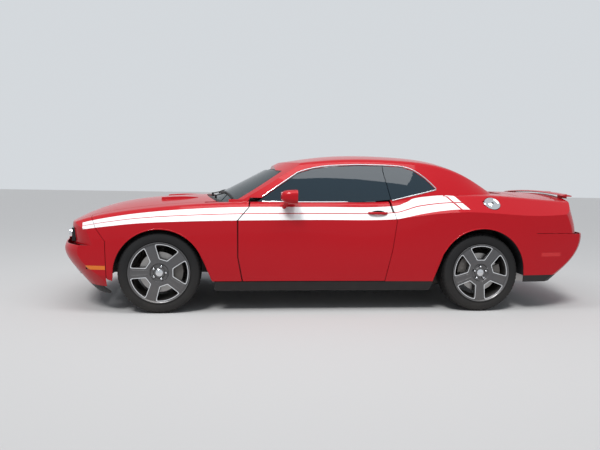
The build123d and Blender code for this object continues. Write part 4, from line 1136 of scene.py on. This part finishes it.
def pad(side_view, y0, y1, cap=0.010, voxel=0.007, corner=0.022, seams=()):
    """Stuffed pad from a side outline: swollen as cloth, with sewn channels across or along it."""
    piece = plate(at_y(side_view, y0), (0, y1 - y0, 0))
    soften(piece, corner, 3, 25)
    apply_modifier(piece, "REMESH", mode="VOXEL", voxel_size=voxel)
    start = [v.co.copy() for v in piece.data.vertices]
    pick(piece)
    cloth = piece.modifiers.new("Cloth", "CLOTH")
    cloth.settings.use_pressure = True
    cloth.settings.uniform_pressure_force = 4
    cloth.settings.effector_weights.gravity = 0
    cloth.settings.quality = 3
    cloth.point_cache.frame_start = 1
    cloth.point_cache.frame_end = CLOTH_FRAMES
    scene = bpy.context.scene
    for frame_number in range(1, CLOTH_FRAMES + 1):
        scene.frame_set(frame_number)
    bpy.ops.object.modifier_apply(modifier=cloth.name)
    scene.frame_set(1)
    for vertex, was in zip(piece.data.vertices, start):
        move = vertex.co - was
        if move.length > cap:
            vertex.co = was + move.normalized() * cap
    normals = [v.normal.copy() for v in piece.data.vertices]
    for vertex, normal in zip(piece.data.vertices, normals):
        if abs(normal.y) > 0.75:
            continue
        for axis, place, depth in seams:
            gap = abs(vertex.co[axis] - place)
            if gap < 0.02:
                vertex.co -= normal * depth * 2.718 ** (-(gap / 0.006) ** 2)
    return piece


def slope_pad(points, y0, y1, thick, **values):
    """Pad that lies on a sloping line of side-view points, with its thickness below the line."""
    low = []
    for k, (x, z) in enumerate(points):
        x0, z0 = points[max(k - 1, 0)]
        x1, z1 = points[min(k + 1, len(points) - 1)]
        run = hypot(x1 - x0, z1 - z0)
        low.append((x + (z1 - z0) / run * thick, z - (x1 - x0) / run * thick))
    return pad(points + low[::-1], y0, y1, **values)


class CAR_OT_seats(bpy.types.Operator):
    """Make the stuffed seats and the rear bench"""
    bl_idname = "car.seats"
    bl_label = "Seats"

    def execute(self, context):
        y = SEAT_Y
        flutes = [(0, -0.30 + 0.055 * k, 0.004) for k in range(8)]
        rows = [(2, 0.50 + 0.055 * k, 0.004) for k in range(7)]
        cushion = (
            slope_pad([(-0.355, 0.436), (-0.300, 0.445), (-0.120, 0.437), (0.060, 0.424), (0.175, 0.414)],
                      y - 0.180, y + 0.180, 0.09, seams=flutes),
            slope_pad([(-0.345, 0.430), (-0.318, 0.466), (-0.120, 0.470), (0.055, 0.470), (0.170, 0.436)],
                      y + 0.187, y + 0.244, 0.10))
        back = (
            slope_pad([(0.165, 0.430), (0.225, 0.540), (0.290, 0.720), (0.350, 0.890), (0.385, 0.970)],
                      y - 0.180, y + 0.180, 0.07, seams=rows),
            slope_pad([(0.130, 0.475), (0.190, 0.640), (0.292, 0.845), (0.360, 0.890)],
                      y + 0.187, y + 0.240, 0.07))
        for name, (centre, bolster) in (("seat_cushion", cushion), ("seat_back", back)):
            other = bolster.copy()
            other.data = bolster.data.copy()
            bpy.context.scene.collection.objects.link(other)
            other.data.transform(Matrix.Translation((0, 2 * y, 0)) @ MIRROR_Y)
            other.data.flip_normals()
            for piece in pair(join([centre, bolster, other]), name, "leather", smooth=60):
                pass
        head = pad([(0.412, 1.020), (0.402, 1.110), (0.425, 1.155), (0.470, 1.145), (0.484, 1.030), (0.455, 1.010)],
                   y - 0.122, y + 0.122, cap=0.007, corner=0.018)
        for piece in pair(head, "headrest", "leather", smooth=60):
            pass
        self.seat_frame(y)
        self.bench()
        return {"FINISHED"}

    @staticmethod
    def seat_frame(y):
        """Base, runners, back shell, knob and headrest posts of a front seat."""
        shell = [brick((-0.345, y - 0.235, 0.305), (0.205, y + 0.235, 0.352), 0.012),
                 brick((-0.300, y - 0.190, 0.2455), (0.200, y - 0.160, 0.310), 0.003),
                 brick((-0.300, y + 0.160, 0.2455), (0.200, y + 0.190, 0.310), 0.003),
                 plate(at_y([(0.235, 0.400), (0.300, 0.360), (0.478, 0.900), (0.440, 0.985), (0.425, 0.960)],
                            y - 0.225), (0, 0.45, 0), 0.010)]
        posts = [bar((0.437, y + dy, 0.940), (0.443, y + dy, 1.035), 0.0065, 20) for dy in (-0.06, 0.06)]
        knob = drum((-0.05, y - 0.240, 0.330), 0.022, 0.018, "Y", 32, 0.003)
        body = coat(join(shell + [knob]), "dash")
        pair(join([body] + [coat(post, "chrome") for post in posts]), "seat_frame", None)

    @staticmethod
    def bench():
        """Rear bench: padded cushions and backs on a shell."""
        seams = [(1, across, 0.004) for across in (-0.260, -0.370, -0.480)]
        pads = [(name, slope_pad(points, -0.590, -0.150, thick, seams=seams)) for name, points, thick in (
            ("bench_cushion", [(0.600, 0.420), (0.640, 0.456), (0.760, 0.446), (0.890, 0.436)], 0.10),
            ("bench_back", [(0.880, 0.450), (0.935, 0.580), (0.990, 0.720), (1.030, 0.840)], 0.06))]
        for name, stuffed in pads:
            for piece in pair(stuffed, name, "leather", smooth=60):
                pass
        base = plate(at_y([(0.615, 0.246), (0.600, 0.405), (0.640, 0.430), (0.900, 0.415), (1.042, 0.835),
                           (1.005, 0.895), (1.085, 0.900), (1.085, 0.246)], -0.598), (0, 0.455, 0), 0.006)
        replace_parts(pair(base, "bench_base", "dash")[0], "seats")
        middle = plate(at_y([(0.640, 0.400), (0.660, 0.445), (0.900, 0.425), (1.045, 0.840), (1.010, 0.895),
                             (1.085, 0.900), (1.085, 0.400)], -0.142), (0, 0.284, 0), 0.012)
        settle(middle, "bench_middle", "leather")


# ---------------------------------------------------------------- cabin
VENT_WAYS = ((0, 1, 0), (0.98, 0, 0.196))
WHEEL_CENTRE, WHEEL_TILT = Vector((-0.330, -0.400, 0.905)), radians(24)
STACK_TOP, STACK_FOOT = Vector((-0.520, 0, 0.930)), Vector((-0.478, 0, 0.760))


def dial(radius, sweep):
    """Round gauge about the origin, facing Z."""
    ring = lathe([(radius, 0.0), (radius, 0.004), (radius * 1.08, 0.005), (radius * 1.12, 0.0)], axis="Z", steps=48)
    face = drum((0, 0, 0.0012), radius * 0.995, 0.0014, "Z", 48, 0.0003)
    parts = [coat(ring, "chrome"), coat(face, "gloss")]
    for k in range(11):
        tick = brick((-0.0006, radius * 0.80, 0.0019), (0.0006, radius * 0.94, 0.0023))
        parts.append(coat(spun(tick, -120 + 24 * k), "bare"))
    needle = plate([(-0.0016, -radius * 0.2, 0.003), (0.0016, -radius * 0.2, 0.003), (0.0005, radius * 0.8, 0.003),
                    (-0.0005, radius * 0.8, 0.003)], (0, 0, 0.0008))
    hub = drum((0, 0, 0.0036), radius * 0.12, 0.003, "Z", 24, 0.0006)
    return join(parts + [coat(spun(needle, sweep), "needle"), coat(hub, "trim")])


def on_stack(piece, across, down):
    """Lays a flat piece on the sloping face of the centre stack."""
    run = (STACK_FOOT - STACK_TOP).normalized()
    return place_on(piece, STACK_TOP + run * down + Vector((0, across, 0)), (0, 1, 0), Vector((-run.z, 0, run.x)))


class CAR_OT_cabin(bpy.types.Operator):
    """Dress the dashboard, steering wheel, console, doors and floor"""
    bl_idname = "car.cabin"
    bl_label = "Cabin"

    def execute(self, context):
        self.gauges()
        self.stack()
        self.vents()
        self.wheel()
        self.console()
        self.doors()
        self.floor()
        return {"FINISHED"}

    @staticmethod
    def gauges():
        settle(brick((-0.560, -0.575, 0.903), (-0.5095, -0.225, 0.972), 0.006), "gauge_housing", "dash")
        for k, (y, radius, sweep) in enumerate(((-0.480, 0.030, 120), (-0.320, 0.030, 100),
                                                (-0.545, 0.013, 60), (-0.400, 0.018, 20), (-0.255, 0.013, 0))):
            settle(place_on(dial(radius, sweep), (-0.5093, y, 0.937), (0, 1, 0), (1, 0, 0)), f"gauge_{k}", None)

    @staticmethod
    def stack():
        """Screen with its surround, and the climate knobs."""
        screen = brick((-0.085, -0.040, 0.0), (0.085, 0.040, 0.003), 0.002)
        settle(on_stack(screen, 0, 0.078), "centre_screen", "gloss")
        surround = flat_frame((-0.095, -0.050), (0.095, 0.050), 0.008, 0.002, 0.004)
        settle(on_stack(surround, 0, 0.078), "screen_surround", "machined")
        knobs = [on_stack(lathe([(0.0005, 0.0), (0.0005, 0.018), (0.013, 0.018), (0.0155, 0.015), (0.0165, 0.004),
                                 (0.020, 0.002), (0.020, 0.0)], axis="Z", steps=32), across, 0.150)
                 for across in (-0.07, 0.0, 0.07)]
        settle(join(knobs), "climate_knobs", "trim")

    @staticmethod
    def vents():
        """Slats of the centre vents, round side vents and the glove box strip."""
        slats = []
        for y in (-0.085, 0.085):
            for k in range(4):
                middle = 0.0065 * (k - 1.5)
                slat = brick((-0.042, -0.0012 + middle, 0.0), (0.042, 0.0012 + middle, 0.004))
                slats.append(on_stack(slat, y * 0.62, 0.017))
        settle(join(slats), "centre_vents", "trim")
        rounds = []
        for y in (-0.640, 0.640):
            ring = lathe([(0.033, 0.0), (0.033, 0.007), (0.037, 0.008), (0.040, 0.004), (0.040, 0.0)], axis="Z",
                         steps=40)
            rounds.append(place_on(ring, (-0.5120, y, 0.868), *VENT_WAYS))
            for k in range(5):
                middle = 0.011 * (k - 2)
                half = (0.032 ** 2 - middle ** 2) ** 0.5
                slat = brick((-half, middle - 0.0012, 0.001), (half, middle + 0.0012, 0.006))
                rounds.append(place_on(slat, (-0.5120, y, 0.868), *VENT_WAYS))
        settle(join(rounds), "side_vents", "trim")
        strip = brick((-0.5080, 0.180, 0.884), (-0.5045, 0.550, 0.891), 0.0012)
        latch = brick((-0.5080, 0.345, 0.862), (-0.4990, 0.385, 0.876), 0.003)
        settle(join([strip, latch]), "glove_box_trim", "chrome")

    @staticmethod
    def wheel():
        """Hub pad, bright spoke covers and rim stitching of the steering wheel."""
        axis = Vector((cos(WHEEL_TILT), 0, sin(WHEEL_TILT)))
        hub = lathe([(0.0005, 0.0245), (0.030, 0.0240), (0.052, 0.0200), (0.063, 0.0120), (0.066, 0.0),
                     (0.0005, 0.0)], axis="Z", steps=48)
        settle(place_on(hub, WHEEL_CENTRE, (0, 1, 0), axis), "wheel_hub_pad", "leather", "steering_wheel", 50)
        covers = []
        for angle in (0, 180, 270):
            cover = plate([(0.066, -0.013, 0.001), (0.160, -0.009, 0.001), (0.160, 0.009, 0.001),
                           (0.066, 0.013, 0.001)], (0, 0, 0.004), 0.0012, 1)
            covers.append(place_on(spun(cover, angle), WHEEL_CENTRE, (0, -1, 0), axis))
        settle(join(covers), "wheel_spoke_covers", "machined", "steering_wheel")
        stitches = [place_on(spun(brick((0.1662, -0.003, 0.0010), (0.1672, 0.003, 0.0028)), 6 * k), WHEEL_CENTRE,
                             (0, 1, 0), axis) for k in range(60)]
        settle(join(stitches), "wheel_stitching", "needle", "steering_wheel", 0)

    @staticmethod
    def console():
        """Shifter, cup holders and the padded armrest."""
        settle(flat_frame((-0.270, -0.055), (-0.120, 0.055), 0.006, 0.5465, 0.003), "shifter_gate", "chrome")
        boot = lathe([(0.0105, 0.070), (0.020, 0.052), (0.022, 0.048), (0.030, 0.034), (0.033, 0.031),
                      (0.045, 0.014), (0.052, 0.001), (0.0105, 0.001)], (-0.197, 0, 0.545), axis="Z", steps=40)
        settle(boot, "shifter_boot", "leather", smooth=50)
        rings = [lathe([(0.036, 0.0), (0.036, 0.003), (0.039, 0.0035), (0.041, 0.0)], (x, 0, 0.5452), axis="Z",
                       steps=48) for x in (-0.455, -0.365)]
        settle(join(rings), "cup_rings", "chrome")
        wells = [drum((x, 0, 0.5458), 0.0355, 0.001, "Z", 40) for x in (-0.455, -0.365)]
        settle(join(wells), "cup_wells", "gloss")
        lid = pad([(-0.036, 0.612), (-0.030, 0.630), (0.305, 0.630), (0.315, 0.612)], -0.098, 0.098, cap=0.006,
                  voxel=0.006, corner=0.006)
        settle(lid, "armrest_lid", "leather", smooth=60)
        settle(drum((-0.212, 0, 0.6735), 0.008, 0.0015, "Z", 24, 0.0004), "shifter_badge", "machined")

    @staticmethod
    def doors():
        """Trim cards, pulls, speakers and window switches on the inside of the doors."""
        y = ray("door_left", (-0.20, -0.60, 0.80), (0, -1, 0))[0].y
        card = plate(at_y([(-0.600, 0.440), (0.300, 0.440), (0.340, 0.520), (0.350, 0.900), (0.300, 0.930),
                           (-0.600, 0.940), (-0.640, 0.880)], y), (0, 0.005, 0), 0.002)
        pocket = brick((-0.420, y + 0.004, 0.450), (0.180, y + 0.030, 0.545), 0.008)
        pair(join([card, pocket]), "door_card", "dash", "door")
        speaker = lathe([(0.0005, 0.005), (0.062, 0.006), (0.070, 0.010), (0.076, 0.008), (0.078, 0.004),
                         (0.0005, 0.003)], (-0.500, y, 0.560), steps=48)
        pair(speaker, "door_speaker", "trim", "door")
        bow = [(-0.330, 0.004), (-0.325, 0.022), (-0.300, 0.030), (-0.220, 0.030), (-0.195, 0.022), (-0.190, 0.004)]
        pair(tube([(x, y + out, 0.800) for x, out in bow], 0.0055, sides=3), "door_pull", "chrome", "door", 60)
        switches = [brick((-0.330 + 0.035 * k, -0.745, 0.7025), (-0.305 + 0.035 * k, -0.725, 0.7065), 0.0015)
                    for k in range(3)]
        pair(join(switches), "window_switches", "gloss", "door")

    @staticmethod
    def floor():
        """Carpets with bound edges, the pedals and the inner mirror."""
        corner = 0.015
        for name, x0, x1, y0, y1 in (("front", -0.840, -0.345, -0.660, -0.170),
                                     ("rear", 0.300, 0.570, -0.600, -0.170)):
            mat = brick((x0, y0, 0.2455), (x1, y1, 0.2520), 0.002)
            line = [(x0 + corner, y0), (x1 - corner, y0), (x1, y0 + corner), (x1, y1 - corner), (x1 - corner, y1),
                    (x0 + corner, y1), (x0, y1 - corner), (x0, y0 + corner)]
            edge = tube([(x, y, 0.250) for x, y in line], 0.004, closed=True, sides=2)
            pair(join([coat(mat, "carpet"), coat(edge, "cloth_edge")]), "floor_mat_" + name, None)
        trunk = plate([(1.135, -0.500, 0.4855), (2.270, -0.560, 0.4855), (2.270, 0.560, 0.4855),
                       (1.135, 0.500, 0.4855)], (0, 0, 0.008), 0.003)
        settle(trunk, "trunk_carpet", "carpet")
        pedals = []
        for y, wide in ((-0.300, 0.030), (-0.400, 0.045), (-0.500, 0.045)):
            pedals += [plate(at_y([(-0.800, 0.360), (-0.765, 0.440), (-0.757, 0.436), (-0.792, 0.356)], y - wide),
                             (0, 2 * wide, 0), 0.003),
                       bar((-0.785, y, 0.405), (-0.720, y, 0.655), 0.007)]
        settle(join(pedals), "pedals", "trim")
        shell = brick((-0.2525, -0.110, 1.235), (-0.2445, 0.110, 1.290), 0.003)
        settle(join([shell, bar((-0.252, 0, 1.275), (-0.290, 0, 1.330), 0.006)]), "inner_mirror", "trim")
        silver = brick((-0.2447, -0.104, 1.240), (-0.2437, 0.104, 1.285), 0.0004, 1)
        settle(silver, "inner_mirror_glass", "mirror")


# ---------------------------------------------------------------- engine bay and stage
class CAR_OT_engine(bpy.types.Operator):
    """Dress the engine block with its covers, oil cap, ribs and pulleys"""
    bl_idname = "car.engine"
    bl_label = "Engine bay"

    def execute(self, context):
        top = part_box("engine_block")[1].z
        cover = brick((-1.760, -0.130, top - 0.004), (-1.260, 0.130, top + 0.034), 0.014, 3)
        ribs = [brick((-1.740 + 0.045 * k, -0.110, top + 0.030), (-1.722 + 0.045 * k, 0.110, top + 0.042), 0.004)
                for k in range(11)]
        settle(join([cover] + ribs), "engine_cover", "trim")
        for side, way in SIDE_WAYS:
            y = way * 0.205
            rocker = brick((-1.780, y - 0.050, top - 0.004), (-1.230, y + 0.050, top + 0.022), 0.010, 3)
            bolts = [drum((-1.740 + 0.094 * k, y + dy, top + 0.024), 0.006, 0.006, "Z", 6, 0.001)
                     for k in range(6) for dy in (-0.036, 0.036)]
            whole = join([coat(rocker, "paint")] + [coat(bolt, "machined") for bolt in bolts])
            settle(whole, "rocker_cover_" + side, None)
        cap = lathe([(0.0005, 0.030), (0.022, 0.030), (0.027, 0.026), (0.028, 0.0), (0.0005, 0.0)],
                    (-1.720, -0.205, top + 0.020), axis="Z", steps=32)
        settle(cap, "oil_cap", "trim")
        block = [brick((x, y - 0.004, 0.42), (x + 0.022, y + 0.004, 0.76), 0.002)
                 for x in (-1.850 + 0.085 * k for k in range(8)) for y in (-0.271, 0.271)]
        settle(join(block), "engine_ribs", "cast")
        pulleys = [lathe([(0.012, -0.012), (radius * 0.8, -0.012), (radius * 0.84, -0.016), (radius, -0.016),
                          (radius * 0.95, -0.004), (radius, 0.006), (0.012, 0.006)], (-1.896, y, z), axis="X",
                         steps=40)
                   for y, z, radius in ((0.0, 0.45, 0.085), (-0.16, 0.62, 0.055), (0.16, 0.62, 0.055),
                                        (0.0, 0.70, 0.05))]
        settle(join(pulleys), "belt_pulleys", "steel")
        return {"FINISHED"}


# Camera that matches the photograph: place, and turns in radians from looking straight across the car
CAMERA_PLACE = (-0.9482, -6.2335, 1.2648)
CAMERA_YAW, CAMERA_PITCH, CAMERA_ROLL = 0.116, 0.087, 0.019


class CAR_OT_stage(bpy.types.Operator):
    """Set up the floor, the lamps and the camera"""
    bl_idname = "car.stage"
    bl_label = "Stage"

    def execute(self, context):
        sizes = context.scene.car_stage
        put_down_all()
        bpy.ops.mesh.primitive_plane_add(size=sizes.floor_size, location=(0, 0, 0))
        floor = bpy.context.object
        floor.name = "studio_floor"
        tone = Finish("studio floor", tuple(context.scene.car_look.floor_tone), 0.85)
        floor.data.materials.append(tone.material)
        self.sky(context, sizes.sky_strength)
        self.lamp("key", (-0.5, -2.2, 6.0), (0, 0, 0.6), "AREA", sizes.key_power, shape="RECTANGLE", size=7,
                  size_y=2.5)
        self.lamp("sun", (-2.0, -4.2, 6.5), (0, 0, 0), "SUN", sizes.sun_strength, angle=radians(16))
        self.camera(context)
        return {"FINISHED"}

    @staticmethod
    def sky(context, strength):
        """Even light all round, with a plain tone where the world itself is seen."""
        world = bpy.data.worlds.new("studio")
        context.scene.world = world
        world.use_nodes = True
        nodes = Nodes(world.node_tree)
        back = world.node_tree.nodes["Background"]
        nodes.put((0.86, 0.92, 1.0), back.inputs["Color"])
        nodes.put(strength, back.inputs["Strength"])
        seen = nodes.node("ShaderNodeBackground", {"Color": (0.66, 0.69, 0.72)})
        path = nodes.node("ShaderNodeLightPath").outputs
        shows = path["Is Camera Ray"]
        for extra in ("Is Glossy Ray", "Is Transmission Ray"):
            shows = nodes.maths("ADD", shows, path[extra], clamp=True)
        both = nodes.node("ShaderNodeMixShader", {0: shows, 1: back.outputs[0], 2: seen.outputs[0]})
        nodes.put(both.outputs[0], world.node_tree.nodes["World Output"].inputs["Surface"])

    @staticmethod
    def lamp(name, place, aim, kind, power, **values):
        data = bpy.data.lights.new(name, kind)
        data.energy = power
        for key, value in values.items():
            setattr(data, key, value)
        lamp = bpy.data.objects.new(name, data)
        lamp.location = place
        lamp.rotation_euler = (Vector(aim) - Vector(place)).to_track_quat("-Z", "Y").to_euler()
        bpy.context.scene.collection.objects.link(lamp)

    @staticmethod
    def camera(context):
        yaw, pitch, roll = CAMERA_YAW, CAMERA_PITCH, CAMERA_ROLL
        ahead = Vector((sin(yaw) * cos(pitch), cos(yaw) * cos(pitch), -sin(pitch)))
        right = Vector((cos(yaw), -sin(yaw), 0))
        up = right.cross(ahead)
        tilted_right = right * cos(roll) + up * sin(roll)
        tilted_up = up * cos(roll) - right * sin(roll)
        data = bpy.data.cameras.new("camera")
        data.lens = 36
        data.sensor_width = 36
        data.clip_end = 200
        camera = bpy.data.objects.new("camera", data)
        turn = Matrix((tilted_right, tilted_up, -ahead)).transposed().to_4x4()
        camera.matrix_world = Matrix.Translation(CAMERA_PLACE) @ turn
        context.scene.collection.objects.link(camera)
        context.scene.camera = camera


class CAR_PT_panel(bpy.types.Panel):
    bl_label = "Car"
    bl_idname = "CAR_PT_panel"
    bl_space_type = "VIEW_3D"
    bl_region_type = "UI"
    bl_category = "Car"

    def draw(self, context):
        layout = self.layout
        for group in (context.scene.car_look, context.scene.car_wheels, context.scene.car_stage):
            box = layout.box()
            for name in group.__annotations__:
                box.prop(group, name)
        for operator in OPERATORS:
            layout.operator(operator.bl_idname)


OPERATORS = (CAR_OT_panels, CAR_OT_glass, CAR_OT_wheels, CAR_OT_trim, CAR_OT_front, CAR_OT_rear,
             CAR_OT_seats, CAR_OT_cabin, CAR_OT_engine, CAR_OT_stage)
CLASSES = (CarLook, WheelSizes, StageSizes) + OPERATORS + (CAR_PT_panel,)


def register():
    for cls in CLASSES:
        bpy.utils.register_class(cls)
    bpy.types.Scene.car_look = bpy.props.PointerProperty(type=CarLook)
    bpy.types.Scene.car_wheels = bpy.props.PointerProperty(type=WheelSizes)
    bpy.types.Scene.car_stage = bpy.props.PointerProperty(type=StageSizes)


def unregister():
    del bpy.types.Scene.car_stage
    del bpy.types.Scene.car_wheels
    del bpy.types.Scene.car_look
    for cls in reversed(CLASSES):
        bpy.utils.unregister_class(cls)


def main():
    register()
    bpy.context.scene.view_settings.view_transform = "Standard"
    for cls in OPERATORS:
        group, name = cls.bl_idname.split(".")
        result = getattr(getattr(bpy.ops, group), name)()
        if result != {"FINISHED"}:
            raise RuntimeError(f"{cls.bl_label} did not finish")


if __name__ == "__main__":
    main()
